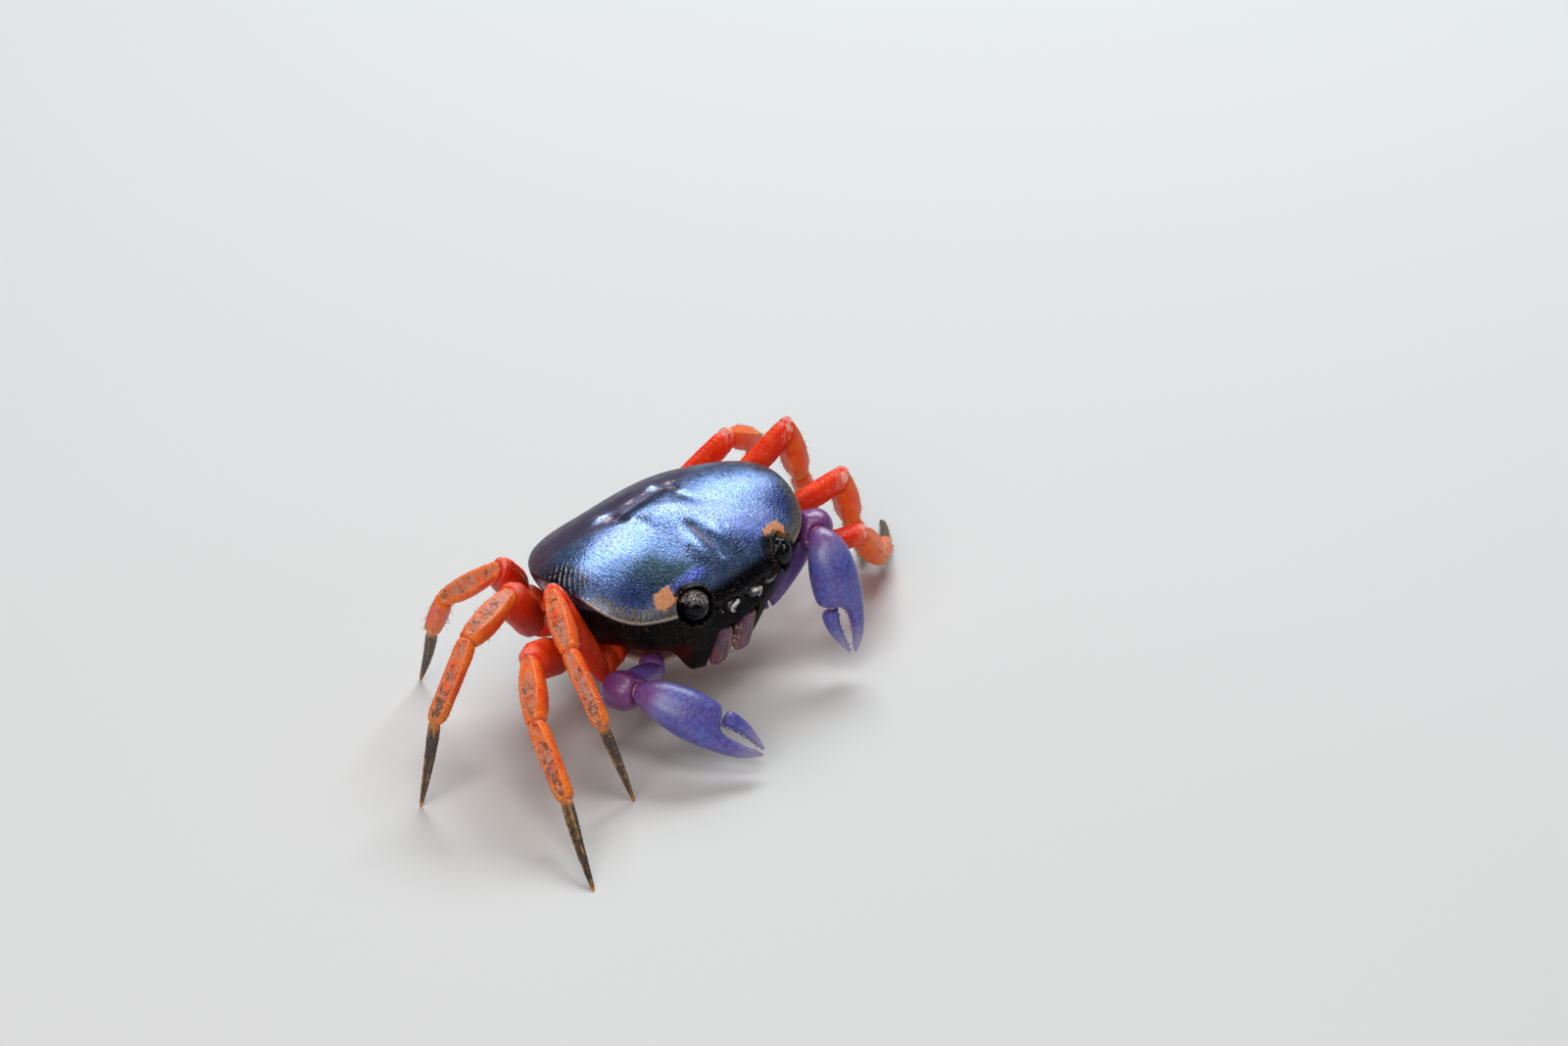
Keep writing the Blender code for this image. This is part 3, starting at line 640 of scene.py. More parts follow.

# %% [markdown]
# Painted reflections and painted shade lie over the blue: violet reflections near the front
# corners and a bright one along the brow, painted dull green shade behind the eyes, and painted
# highlights on two lobes behind the groove. The rear is dull purple brown, partly its own tone and
# partly painted shade where the back turns from the light. The front between the eyes is painted
# near black, partly its own dark tone and partly painted shade, and the eye cups are painted black
# as shade in the sockets. These changes have no clear edge, so they are soft bells and steps over
# places on the back.

# %% Store the painted reflections and shade, the dull rear and the dark front
fainter = 0.35 + 0.65 * step(2.0, -2.0, x)
# Painted reflections: a bright violet blue band along the brow, and deep violet near the front corners and
# the front.
brow = bell(y, -12.1, 0.65) * step(3.8, 5.6, side_x) * step(12.6, 10.4, side_x) * fainter
paint(shell, "brow", brow * (z > -1))
violet = swelling(side_x, y, (17.5, -9.0), (3.6, 3.2)) + 0.85 * swelling(x, y, (8.2, -10.0), (6.5, 2.7))
paint(shell, "violet", np.minimum(1, brow + violet))
# Painted shade: dull dark green on the slopes between the bright band and the front, where the lacquer
# reflects little light.
green = 0.9 * swelling(side_x + 0.5 * y, y, (8.4, -7.4), (4.2, 2.6))
green = green + 0.8 * swelling(side_x, y, (8.6, -10.2), (4.2, 1.7))
green = green + 0.35 * swelling(side_x, y, (0, -12.8), (5.0, 1.6))
green = green + 0.45 * swelling(side_x, y, (15.6, -9.2), (2.6, 2.6))
paint(shell, "green", np.minimum(1, 1.45 * green) * (1 - brow) * fainter)
# Painted highlights: pale blue blobs on two lobes behind the groove, and a fainter one beside it.
bright = swelling(x, y, (3.7, 5.1), (1.2, 0.6)) + swelling(x, y, (-7.3, 5.8), (1.5, 0.6))
bright = np.minimum(1, bright + 0.35 * swelling(side_x, y, (5.4, 1.5), (1.0, 0.6)))
paint(shell, "bright", bright)
# The rear is dull dark purple, partly its own tone and partly painted shade: its edge follows where the back
# turns away from the light.
behind = step(2.2, 5.0, y - 0.35 * np.maximum(side_x - 9, 0))
rear = np.maximum(step(104, 130, away) * step(7, 1.5, inward), behind)
paint(shell, "rear", np.clip(rear - bright, 0, 1))
flush = step(88, 102, away) * (1 - step(118, 140, away)) * step(3.6, 0.4, inward)
paint(shell, "flush", flush * (1 - 0.5 * wall))
# Painted near black: the front between the eyes, partly its own dark tone and partly painted shade, and the
# eye cups, painted shade in the sockets.
to_eye = np.linalg.norm(np.stack([side_x, y, z], 1) - EYE_PLACE, axis=1)
nose = step(-11.8, -15.2, y + 0.5 * z) * step(10.0, 7.6, side_x)
paint(shell, "front", np.maximum(nose, step(4.0, 3.2, to_eye)))
paint(shell, "cup", step(3.7, 3.2, to_eye))
print("stored", len(shell.data.attributes), "layers on", len(shell.data.vertices), "points")

# %% [markdown]
# The lacquer starts as two blues in soft clouds. Each stored layer then lays its own tint over
# them at its own strength, most of them painted reflections, highlights and shade, and fine painted
# glints, grit and dots break the smooth colour up.

# %% Colour of the lacquer
# Most tints below are painted light: violet and brow reflections, green and valley shade, bright highlights,
# and a rear that is partly shade; the red flush is the shell's own colour.
SHELL_TINTS = (
    ("green", 0.95, (0.012, 0.030, 0.036)), ("violet", 0.9, (0.032, 0.046, 0.180)),
    ("brow", 0.8, (0.120, 0.150, 0.600)), ("rear", 0.88, (0.064, 0.038, 0.066)),
    ("valley", 0.85, (0.022, 0.016, 0.045)), ("bright", 0.8, (0.26, 0.32, 0.50)),
    ("flush", 0.8, (0.075, 0.006, 0.008)))
NEAR_BLACK = (0.0022, 0.0018, 0.0018)
lacquer, shader, place = new_finish(
    "shell_lacquer", 0.36, Coat_Weight=0.1, Coat_Roughness=0.12, Specular_IOR_Level=0.3)
layer = {item.name: stored(place, item.name) for item in shell.data.attributes if item.data_type == "FLOAT"}
cloud = noise(place, 0.50, 5.0, 0.6)
colour = mix(soft(noise(place, 0.16, 3.0), 0.38, 0.62), (0.078, 0.140, 0.290), (0.100, 0.144, 0.310))
colour = mix(soft(cloud, 0.50, 0.70, 0.0, 0.6), colour, (0.150, 0.210, 0.380))
for name, strength, tint in SHELL_TINTS:
    colour = over(colour, layer[name], strength, tint)
# Painted glints: pale blue sparkles, held back where the painted shade and violet layers lie.
shade = largest(times(largest(layer["green"], layer["violet"]), 0.75), layer["rear"], layer["valley"])
painted_glint = soft(noise(place, 4.2, 3.0, 0.7), 0.54, 0.65, 0.0, 0.8)
colour = mix(times(painted_glint, less(1.0, shade)), colour, (0.28, 0.36, 0.56))
grit = soft(noise(place, 2.9, 4.0, 0.75), 0.47, 0.38, 0.0, 0.85)
colour = mix(grit, colour, (0.010, 0.015, 0.030))
dots = soft(cells(place, 0.95), 0.20, 0.11)
colour = over(colour, dots, 0.9, (0.002, 0.002, 0.004))
bent = plus(times(layer["from_ridge"], 5.0), times(noise(place, 0.5, 3.0), 3.4))
broken = soft(noise(place, 1.3, 3.0), 0.40, 0.54)
pale_lines = times(soft(calc("SINE", bent), 0.80, 0.97), times(layer["striae"], broken))
colour = over(colour, layer["striae"], 0.7, (0.018, 0.014, 0.024))
print("stored layers in the lacquer:", len(layer))

# %% [markdown]
# The wall, the ridge and the patches lie over the lacquer, so they are mixed in after it. Noises
# break up the ridge, the scars and the edges of the patches, which would else look painted on.

# %% Colour of the wall, the ridge and the patches
speck = soft(noise(place, 3.0, 3.0, 0.7), 0.60, 0.68)
wall_colour = mix(speck, NEAR_BLACK, (0.16, 0.12, 0.09))
wall_colour = mix(soft(layer["foot"], 0.15, 0.8), wall_colour, (0.055, 0.003, 0.002))
colour = mix(layer["wall"], colour, wall_colour)
colour = over(colour, pale_lines, 0.9, (0.50, 0.44, 0.38))
# The front and the eye cups are painted near black, in part painted shade, with pale and brown specks.
colour = mix(layer["front"], colour, mix(speck, (0.0022, 0.0020, 0.003), (0.10, 0.085, 0.08)))
cup_crust = soft(noise(place, 2.6, 4.0, 0.75), 0.52, 0.68)
colour = mix(layer["cup"], colour, mix(cup_crust, (0.003, 0.0025, 0.003), (0.055, 0.034, 0.028)))
band = times(layer["ridge_band"], soft(noise(place, 2.6, 6.0, 0.8), 0.46, 0.52))
colour = mix(soft(band, 0.1, 0.6), colour, (0.16, 0.125, 0.065))
scar = times(layer["scar"], soft(noise(place, 1.1, 4.0, 0.7), 0.44, 0.56))
colour = over(colour, scar, 0.8, (0.46, 0.33, 0.30))
rim = times(layer["ridge"], soft(noise(place, 1.7, 4.0, 0.7), 0.34, 0.52, 0.35, 1.0))
colour = over(colour, rim, 0.9, (0.46, 0.36, 0.25))
colour = over(colour, layer["furrow"], 0.75, (0.20, 0.11, 0.06))
ragged = plus(layer["patch"], times(less(noise(place, 1.4, 6.0, 0.75), 0.5), 1.9))
patch_mask = soft(ragged, 0.16, -0.14)
patch_clouds = soft(noise(place, 2.0, 4.0, 0.7), 0.36, 0.64)
colour = over(colour, patch_mask, 0.92, mix(patch_clouds, (0.58, 0.17, 0.055), (0.52, 0.27, 0.12)))
print("nodes that mix its colour:", len(lacquer.node_tree.nodes))

# %% [markdown]
# The blue comes from thin layers in the shell and shines like metal. A metallic base gives that
# look more simply than a coat, and it is taken away wherever dirt, a patch or the wall covers it.

# %% Shine of the lacquer
dull = times(layer["rear"], 0.75)
covered = largest(layer["wall"], layer["front"], patch_mask, rim, band, dots, scar, dull)
feed(shader.inputs["Metallic"], times(less(1.0, covered), 0.88))
shown = less(1.0, largest(layer["wall"], layer["rear"], layer["front"]))
feed(shader.inputs["Coat Weight"], times(shown, 0.12))
feed(shader.inputs["Specular IOR Level"], soft(shown, 0.0, 1.0, 0.06, 0.35))
rough = plus(soft(cloud, 0.3, 0.7, 0.24, 0.36), plus(times(layer["wall"], 0.25), times(layer["rear"], 0.06)))
skin = use_group(grain, place, Grains_per_mm=3.0, Pits=0.6)
join_shader(shader, colour, plus(skin["Height"], times(pale_lines, 1.2)), 0.6, 0.07, rough)
smooth_faces(shell)
pick(shell)
bpy.ops.object.shade_smooth_by_angle(angle=math.radians(50))
dress(shell, lacquer, "carapace")
print("shell dressed with", lacquer.name)

# %% [markdown]
# ## Where the leg joints lie
# Each walking leg is a chain: hip piece, long merus, carpus, propodus and pointed dactyl. The same
# lengths and turns that shaped the solids are used again here, so each fine piece lies exactly
# over the plain one. At a joint the two pieces end on one shared plane, half a gap from it.

# %% Leg lengths and turns
LEGS = [(word, number) for word in ("left", "right") for number in (2, 3, 4, 5)]
LEG_BASE = {2: (19.6, -6.0, -10.8), 3: (20.2, 0.8, -10.8), 4: (18.8, 8.0, -10.0), 5: (15.6, 14.0, -8.6)}
LEG_LENGTH = {2: (16.2, 10.4, 11.8, 14.8), 3: (18.4, 10.8, 12.3, 14.4),
              4: (19.3, 11.1, 12.6, 15.3), 5: (16.0, 9.4, 11.2, 12.8)}
LEG_SIZE = {2: 0.95, 3: 1.0, 4: 1.0, 5: 0.88}
# Turn and rise of the merus, carpus and propodus, then the turn of the dactyl, in degrees.
LEG_POSE = {
    ("right", 2): ((-13, 60), (54, -17), (73, -42), 162),
    ("right", 3): ((26, 23), (46, -22), (67, -37), 59),
    ("right", 4): ((28, 39), (11, -10), (12, -43), -91),
    ("right", 5): ((27, 38), (-59, -34), (-119, -52), -115),
    ("left", 2): ((18, 0), (-12, -45), (-32, -16), -40),
    ("left", 3): ((25, 22), (-18, -60), (-20, -50), -42),
    ("left", 4): ((21, 38), (-14, -60), (-24, -52), -38),
    ("left", 5): ((13, 30), (-10, -24), (-39, -65), -60),
}
# Turn in degrees and distance of the side of the breast plate that carries each leg.
FACETS = {2: (24, 13.3), 3: (2, 12.9), 4: (-24, 13.7), 5: (-50, 15.2)}
ROOT_HEIGHT = -11.5
DACTYL_BOW = 0.35


def aim_leg(side, turn, rise):
    t = math.radians(turn)
    r = math.radians(rise)
    return np.array((side * math.cos(t) * math.cos(r), -math.sin(t) * math.cos(r), math.sin(r)))


def span_between(ends, planes, across, bow, gaps):
    start, end = ends
    along = unit(end - start)
    across = unit(across - along * (across @ along))
    up = np.cross(across, along)
    hand = 1 if up[2] >= 0 else -1
    return {"start": start, "along": along, "length": np.linalg.norm(end - start), "planes": planes,
            "across": across, "up": up * hand, "hand": hand, "bow": bow, "gaps": gaps}


def leg_spans(word, number):
    side = 1 if word == "left" else -1
    corner = np.array(LEG_BASE[number]) * MIRROR[side]
    joints = [to_world(corner)]
    pose = LEG_POSE[(word, number)]
    lengths = LEG_LENGTH[number]
    for (turn, rise), length in zip(pose[:3], lengths):
        joints.append(joints[-1] + aim_leg(side, turn, rise) * length)
    drop = math.degrees(math.asin(-joints[-1][2] / lengths[3]))
    joints.append(joints[-1] + aim_leg(side, pose[3], drop) * lengths[3])
    facet_turn, facet_far = FACETS[number]
    normal = aim_leg(side, facet_turn, 0)
    inner = corner - normal * (corner @ normal - facet_far)
    inner[2] = ROOT_HEIGHT
    ends = [to_world(inner)] + joints
    runs = [unit(b - a) for a, b in zip(ends, joints)]
    planes = [TILT @ normal] + [unit(a + b) for a, b in zip(runs, runs[1:])] + [np.array((0, 0, -1.0))]
    across = unit(np.cross(joints[4] - joints[0], joints[1] - joints[0]))
    spans = []
    for k, kind in enumerate(("coxa", "merus", "carpus", "propodus", "dactyl")):
        gaps = (2 if k == 0 else 1, 0 if k == 4 else 1)
        bow = DACTYL_BOW if kind == "dactyl" else 0.0
        spans.append((kind, span_between(ends[k:k + 2], planes[k:k + 2], across, bow, gaps)))
    return spans, joints


print("front right leg ends at", np.round(leg_spans("right", 2)[1][-1], 1))

# %% [markdown]
# ## The shape of one leg piece
# A leg piece is a tube whose section changes along it: an oval at the hip, a box with four raised
# keels on the outer pieces. A sphere is closed at both ends, so it is the start of each tube:
# its rings become places along the leg and its poles become the two end faces.

# %% A tube from joint to joint
END_CAP = 0.05


def keel_spread(place):
    return 0.30 + 0.36 * np.sin(np.pi * np.clip(place, 0, 1)) ** 0.6


def keel_distance(place, turned):
    # How far round the limb a point lies from the nearest keel, in radians. The two upper keels
    # close towards each other at both ends of the piece, and so do the two lower ones.
    from_top = np.arccos(np.clip(np.sin(turned), -1, 1))
    return np.minimum(from_top, np.pi - from_top) - keel_spread(place)


def on_limb(span, stops, relief, place, angle, closing=1.0):
    turned = angle * span["hand"]
    places, *columns = zip(*stops)
    thick, high, square, keel, lift = (between(place, list(zip(places, column))) for column in columns)
    c = np.cos(turned)
    s = np.sin(turned)
    reach = (np.abs(c) ** square + np.abs(s) ** square) ** (-1 / square)
    x = c * reach * thick
    y = s * reach * high
    size = np.hypot(x, y) + 1e-9
    off = keel_distance(place, turned)
    raised = keel * (1.6 * bell(off, 0, 0.13) - 0.6 * step(0.0, -0.25, off))
    grown = (size + relief(place, turned, span["length"]) + raised) / size * closing
    x = x * grown
    y = y * grown + lift + span["bow"] * np.sin(np.pi * place)
    offset = x[:, None] * span["across"] + y[:, None] * span["up"]
    first, last = span["planes"]
    slide_a = (GAP / 2 * span["gaps"][0] - offset @ first) / (first @ span["along"])
    slide_b = span["length"] - (GAP / 2 * span["gaps"][1] + offset @ last) / (last @ span["along"])
    slide = slide_a + (slide_b - slide_a) * place
    return span["start"] + offset + slide[:, None] * span["along"]


def limb_piece(name, span, stops, relief, sides, rings):
    piece = new_ball(name, sides, rings)
    ball = points_of(piece) * MM
    angle = np.arctan2(ball[:, 1], ball[:, 0])
    down = np.arccos(np.clip(ball[:, 2], -1, 1)) / np.pi
    place = np.clip((down - END_CAP) / (1 - 2 * END_CAP), 0, 1)
    closing = np.sin(np.pi / 2 * np.minimum(np.minimum(down, 1 - down) / END_CAP, 1))
    closing = closing * (0.9 + 0.1 * step(0, 0.025, place) * step(1, 0.975, place))
    move_points(piece, on_limb(span, stops, relief, place, angle, closing))
    top = np.sin(angle * span["hand"])
    off = keel_distance(place, angle * span["hand"])
    paint(piece, "along", place)
    paint(piece, "top", top)
    paint(piece, "keel", bell(off, 0, 0.17))
    ends = step(0.0, 0.06, place) * step(1.0, 0.95, place)
    paint(piece, "strip", step(-0.04, -0.16, off) * (top > 0) * ends)
    smooth_faces(piece)
    return piece


# %% [markdown]
# The tables give each kind of piece its half thickness, half height, squareness, keel and lift at
# places along it. The relief functions add what a table can't: cross wrinkles and a collar at the
# knee end of the merus, beaded keels on the next two pieces, grooves down the pointed last one.

# %% Tables and relief of the five kinds
COXA = ((0, 1.9, 2.0, 2.2, 0, 0), (0.3, 2.1, 2.05, 2.2, 0, 0), (0.5, 1.6, 1.85, 2.2, 0, 0),
        (0.8, 1.6, 2.0, 2.2, 0, 0), (1, 1.35, 1.75, 2.2, 0, 0))
MERUS = ((0, 1.4, 1.85, 2.2, 0, 0), (0.12, 1.6, 2.4, 2.1, 0, 0), (0.4, 1.75, 2.9, 2.0, 0.03, 0.1),
         (0.75, 1.85, 2.85, 2.0, 0.03, 0.1), (0.9, 1.85, 2.55, 2.2, 0, 0), (1, 1.6, 2.0, 2.3, 0, 0))
CARPUS = ((0, 1.42, 1.5, 2.3, 0.02, 0), (0.2, 1.75, 1.8, 2.4, 0.10, 0.05), (0.5, 1.95, 1.95, 2.4, 0.13, 0.1),
          (0.8, 1.8, 1.8, 2.4, 0.12, 0.05), (1, 1.4, 1.38, 2.3, 0.03, 0))
PROPODUS = ((0, 1.28, 1.25, 2.3, 0.03, 0), (0.15, 1.5, 1.45, 2.4, 0.10, 0), (0.6, 1.45, 1.38, 2.4, 0.12, 0),
            (0.88, 1.42, 1.35, 2.4, 0.12, 0), (1, 1.1, 1.05, 2.3, 0.04, 0))
DACTYL = ((0, 0.86, 0.82, 2.3, 0.03, 0), (0.12, 0.88, 0.84, 2.3, 0.07, 0), (0.45, 0.72, 0.68, 2.3, 0.08, 0),
          (0.8, 0.45, 0.45, 2.3, 0.05, 0), (0.96, 0.27, 0.27, 2.2, 0.01, 0), (1, 0.22, 0.22, 2.2, 0, 0))


def grown_table(stops, size):
    return tuple((row[0], row[1] * size, row[2] * size, row[3], row[4], row[5] * size) for row in stops)


def ripple(value, seed):
    waves = ((1.0, 1.0, 0.5), (2.3, 2.1, 0.3), (5.1, 3.7, 0.2))
    return sum(np.sin(value * often + seed * shift) * size for often, shift, size in waves)


def bead_row(place, length, spacing, shift=0.0):
    return np.sin(2 * np.pi * place * length / spacing + shift)


def coxa_relief(place, angle, length):
    return 0.07 * ripple(place * 9, 1.0) - 0.10 * bell(place, 0.48, 0.05)


def merus_relief(place, angle, length):
    upper = step(-0.4, 0.6, np.sin(angle))
    waves = bead_row(place, length, 0.80, 1.6 * ripple(angle * 2.5, 0.7) + ripple(angle * 7, 2.0))
    wrinkles = 0.075 * waves * step(0.60, 0.86, place) * step(0.97, 0.91, place) * (0.2 + 0.8 * upper)
    collar = 0.17 * bell(place, 0.955, 0.022) - 0.22 * bell(place, 0.905, 0.018)
    crest = 0.14 * bell(np.sin(angle), 1, 0.05) * step(0.05, 0.2, place) * step(0.92, 0.8, place)
    beads = 0.5 + 0.5 * bead_row(place, length, 0.75)
    uneven = 0.04 * ripple(place * length * 0.9 + 2 * np.cos(angle), 0.8)
    return wrinkles + collar * (0.4 + 0.6 * upper) + crest * (0.5 + 0.5 * beads) + uneven


def keeled_relief(place, angle, length):
    beads = bead_row(place, length, 0.60, 3 * ripple(place * 7, 2.0))
    beads = beads * bell(keel_distance(place, angle), 0, 0.16)
    ends = step(0.02, 0.12, place) * step(0.99, 0.9, place)
    lip = 0.10 * bell(place, 0.955, 0.022) + 0.08 * bell(place, 0.05, 0.03)
    return 0.03 * beads * ends + lip + 0.035 * ripple(place * length * 1.3 + np.sin(angle) * 2, 0.3)


def dactyl_relief(place, angle, length):
    beads = bead_row(place, length, 0.55) * bell(keel_distance(place, angle), 0, 0.16)
    return 0.025 * ripple(place * length * 2.2, 0.9) * (1 - place) + 0.02 * beads


# Table, relief, sides and rings of each kind.
KINDS = {"coxa": (COXA, coxa_relief, 44, 40), "merus": (MERUS, merus_relief, 60, 110),
         "carpus": (CARPUS, keeled_relief, 64, 84), "propodus": (PROPODUS, keeled_relief, 64, 92),
         "dactyl": (DACTYL, dactyl_relief, 48, 90)}

# %% [markdown]
# ## Finishes of the legs
# The merus is a deep red crust, painted darker on its underside and at its hip end as painted
# shade, with a pale pink painted highlight on top at the knee. The two outer pieces carry raised
# orange keels, the upper ones with a painted highlight, and dusty brown strips between them, and
# run into yellow at the far end. The last piece is almost black with ochre streaks along its edges.

# %% Red crust
leg_red, shader, place = new_finish(
    "leg_red", 0.42, Coat_Weight=0.0, Coat_Roughness=0.25, Specular_IOR_Level=0.19,
    Subsurface_Weight=0.25, Subsurface_Radius=(1.0, 0.25, 0.08), Subsurface_Scale=0.0012)
patchy = noise(place, 0.35, 4.0, 0.6)
skin = use_group(grain, place, Grains_per_mm=2.6, Pits=0.25)
along = stored(place, "along")
top = stored(place, "top")
colour = mix(soft(patchy, 0.38, 0.62), (0.82, 0.026, 0.004), (0.92, 0.070, 0.007))
colour = over(colour, skin["Grain"], 0.3, (0.95, 0.10, 0.018))
# Painted shade: darker red on the underside of each piece and at its end nearest the body.
colour = over(colour, soft(top, 0.1, -0.9), 0.5, (0.40, 0.010, 0.004))
colour = over(colour, soft(along, 0.16, 0.0), 0.45, (0.30, 0.02, 0.02))
# Painted highlight: a pale pink sheen on top of the merus near the knee, stronger on the far legs.
knee = times(soft(along, 0.80, 0.98), soft(top, 0.2, 0.9))
knee_highlight = times(knee, soft(noise(place, 0.9, 4.0, 0.65), 0.38, 0.6))
colour = over(colour, knee_highlight, stored(place, "knee_highlight"), (0.88, 0.50, 0.42))
soil = use_group(dirt, place, Amount=0.46, Where=stored(place, "dust"))
colour = over(colour, soil["Flecks"], 0.85, (0.018, 0.008, 0.006))
join_shader(shader, colour, skin["Height"], 0.6, 0.14, soft(patchy, 0.3, 0.7, 0.34, 0.52))

# %% [markdown]
# The outer pieces are more orange. Clay dries in the strips between the keels and rubs off the
# keels themselves, so the stored strip mask steers the dirt, and the keel mask a brighter orange,
# which on the upper keels is also a painted highlight.

# %% Dusty keels
leg_dusty, shader, place = new_finish(
    "leg_dusty", 0.42, Coat_Weight=0.04, Coat_Roughness=0.25, Specular_IOR_Level=0.25,
    Subsurface_Weight=0.25, Subsurface_Radius=(1.0, 0.3, 0.1), Subsurface_Scale=0.0012)
patchy = noise(place, 0.4, 4.0, 0.6)
skin = use_group(grain, place, Grains_per_mm=3.0, Pits=0.35)
along = stored(place, "along")
yellow = stored(place, "yellow")
dust = stored(place, "dust")
colour = mix(soft(patchy, 0.36, 0.64), (0.88, 0.075, 0.006), (0.95, 0.17, 0.014))
colour = over(colour, soft(along, 0.62, 1.0), yellow, (0.85, 0.25, 0.018))
where = times(stored(place, "strip"), dust)
clay = mix(soft(noise(place, 0.9, 4.0, 0.65), 0.40, 0.62), (0.38, 0.15, 0.085), (0.47, 0.28, 0.22))
film = times(where, soft(noise(place, 0.45, 4.0, 0.7), 0.30, 0.56))
colour = over(colour, film, 0.76, clay)
# Brighter orange on the upper keels: clean rubbed keels, and a painted highlight where they face up.
rubbed_keel_and_highlight = times(stored(place, "keel"), soft(stored(place, "top"), -0.2, 0.6))
colour = over(colour, rubbed_keel_and_highlight, 0.55, (0.95, 0.25, 0.06))
grime = plus(times(noise(place, 0.55, 4.0, 0.7), 0.6), times(noise(place, 2.2, 4.0, 0.75), 0.4))
grime = plus(grime, times(soft(along, 0.2, 0.9, 0.0, 0.10), yellow))
soil = times(where, soft(grime, 0.53, 0.62))
colour = over(colour, soil, 0.8, (0.100, 0.048, 0.034))
all_over = use_group(dirt, place, Amount=0.5, Where=dust)
colour = over(colour, all_over["Flecks"], 0.85, (0.020, 0.010, 0.007))
smear = times(all_over["Mask"], soft(along, 0.35, 1.0, 0.0, 0.5))
colour = over(colour, smear, yellow, (0.10, 0.045, 0.025))
rough = plus(soft(patchy, 0.3, 0.7, 0.30, 0.46), times(film, 0.08))
join_shader(shader, colour, less(skin["Height"], times(soil, 0.5)), 0.6, 0.12, rough)

# %% [markdown]
# The pointed last piece is bare horn. Its ochre streaks run along the keels, and its very point is
# worn pale, so both follow the stored masks too.

# %% Dark horny tips
leg_horn, shader, place = new_finish("leg_horn", 0.5, Coat_Weight=0.1, Coat_Roughness=0.35)
patchy = noise(place, 0.55, 4.0, 0.65)
skin = use_group(grain, place, Grains_per_mm=3.4, Pits=0.4)
along = stored(place, "along")
colour = mix(soft(noise(place, 1.8, 4.0, 0.7), 0.4, 0.62), (0.016, 0.009, 0.007), (0.085, 0.045, 0.028))
colour = over(colour, soft(along, 0.10, 0.0), 0.8, (0.66, 0.20, 0.03))
streak = times(stored(place, "keel"), soft(patchy, 0.44, 0.58))
colour = over(colour, streak, 0.9, (0.50, 0.24, 0.035))
colour = over(colour, soft(patchy, 0.56, 0.66), 0.5, (0.36, 0.15, 0.03))
colour = over(colour, soft(along, 0.91, 0.985), 0.85, (0.72, 0.27, 0.045))
join_shader(shader, colour, skin["Height"], 0.55, 0.12, soft(patchy, 0.3, 0.7, 0.40, 0.60))
LEG_FINISH = {"coxa": leg_red, "merus": leg_red, "carpus": leg_dusty, "propodus": leg_dusty,
              "dactyl": leg_horn}
print("leg finishes:", sorted({finish.name for finish in LEG_FINISH.values()}))

# %% [markdown]
# The near legs are the right ones. They are dusty, and the far left ones are cleaner, with a
# stronger painted knee highlight and more yellow, so three plain numbers on each piece steer the
# same finishes.

# %% Build the forty leg pieces
DUST = {"left": 0.12, "right": 1.0}
KNEE_HIGHLIGHT = {"left": 1.0, "right": 0.45}
YELLOW = {"left": 0.8, "right": 0.3}
PROPODUS_YELLOW = 0.75
limbs = {}
for word, number in LEGS:
    spans, joints = leg_spans(word, number)
    for kind, span in spans:
        stops, relief, sides, rings = KINDS[kind]
        stops = grown_table(stops, LEG_SIZE[number])
        name = kind + "_" + word + "_" + str(number)
        piece = limb_piece(name, span, stops, relief, sides, rings)
        paint(piece, "dust", DUST[word])
        paint(piece, "knee_highlight", KNEE_HIGHLIGHT[word])
        paint(piece, "yellow", PROPODUS_YELLOW if kind == "propodus" else YELLOW[word])
        dress(piece, LEG_FINISH[kind], "leg_" + word + "_" + str(number) + "_" + kind)
        limbs[name] = (span, stops, relief)
print("leg pieces:", len(limbs))

# %% [markdown]
# ## Joint skins
# Hard pieces can't touch, so a soft pale pink skin closes each joint. It is a ball squeezed to
# the section of the leg, wide enough to reach into both pieces. A leg's skins are one mesh.

# %% Soft skin at every joint
SKIN_SHARE = 0.84
SKIN_DEPTH = 0.75
joint_skin, shader, place = new_finish("joint_skin", 0.5)
tone = mix(noise(place, 1.4, 4.0, 0.6), (0.42, 0.07, 0.045), (0.72, 0.30, 0.22))
join_shader(shader, tone, noise(place, 3.5, 3.0), 0.5, 0.1)


def merge_pieces(pieces, name):
    pick(pieces[0])
    for other in pieces[1:]:
        other.select_set(True)
    if len(pieces) > 1:
        bpy.ops.object.join()
    joined = bpy.context.view_layer.objects.active
    joined.name = name
    return joined


def squeezed_ball(middle, axes, segments=32, rings=20):
    # A ball whose three radii are the lengths of its axes.
    made = new_ball("ball", segments, rings)
    move_points(made, middle + (points_of(made) * MM) @ np.stack(axes))
    smooth_faces(made)
    return made


for word, number in LEGS:
    spans, joints = leg_spans(word, number)
    skins = []
    for joint, (kind, span) in zip(joints, spans[1:]):
        row = grown_table(KINDS[kind][0], LEG_SIZE[number])[0]
        across = span["across"] * row[1] * SKIN_SHARE
        up = span["up"] * row[2] * SKIN_SHARE * span["hand"]
        skins.append(squeezed_ball(joint, (across, up, -span["along"] * SKIN_DEPTH)))
    piece = merge_pieces(skins, "joint_skins_" + word + "_" + str(number))
    dress(piece, joint_skin)
print("joint skins on", len(LEGS), "legs")

# %% [markdown]
# ## Bristles and small spines
# Short stiff bristles, some pale and some brown, stand on the keels, and rows of small horny
# spines run down the pointed last pieces. Each is a thin curved cone. Thousands of separate
# objects would be slow, so a leg's cones are written as one joined mesh.

# %% A joined mesh of thin cones
def edit_all_of(piece):
    pick(piece)
    bpy.ops.object.mode_set(mode="EDIT")
    bpy.ops.mesh.select_all(action="SELECT")


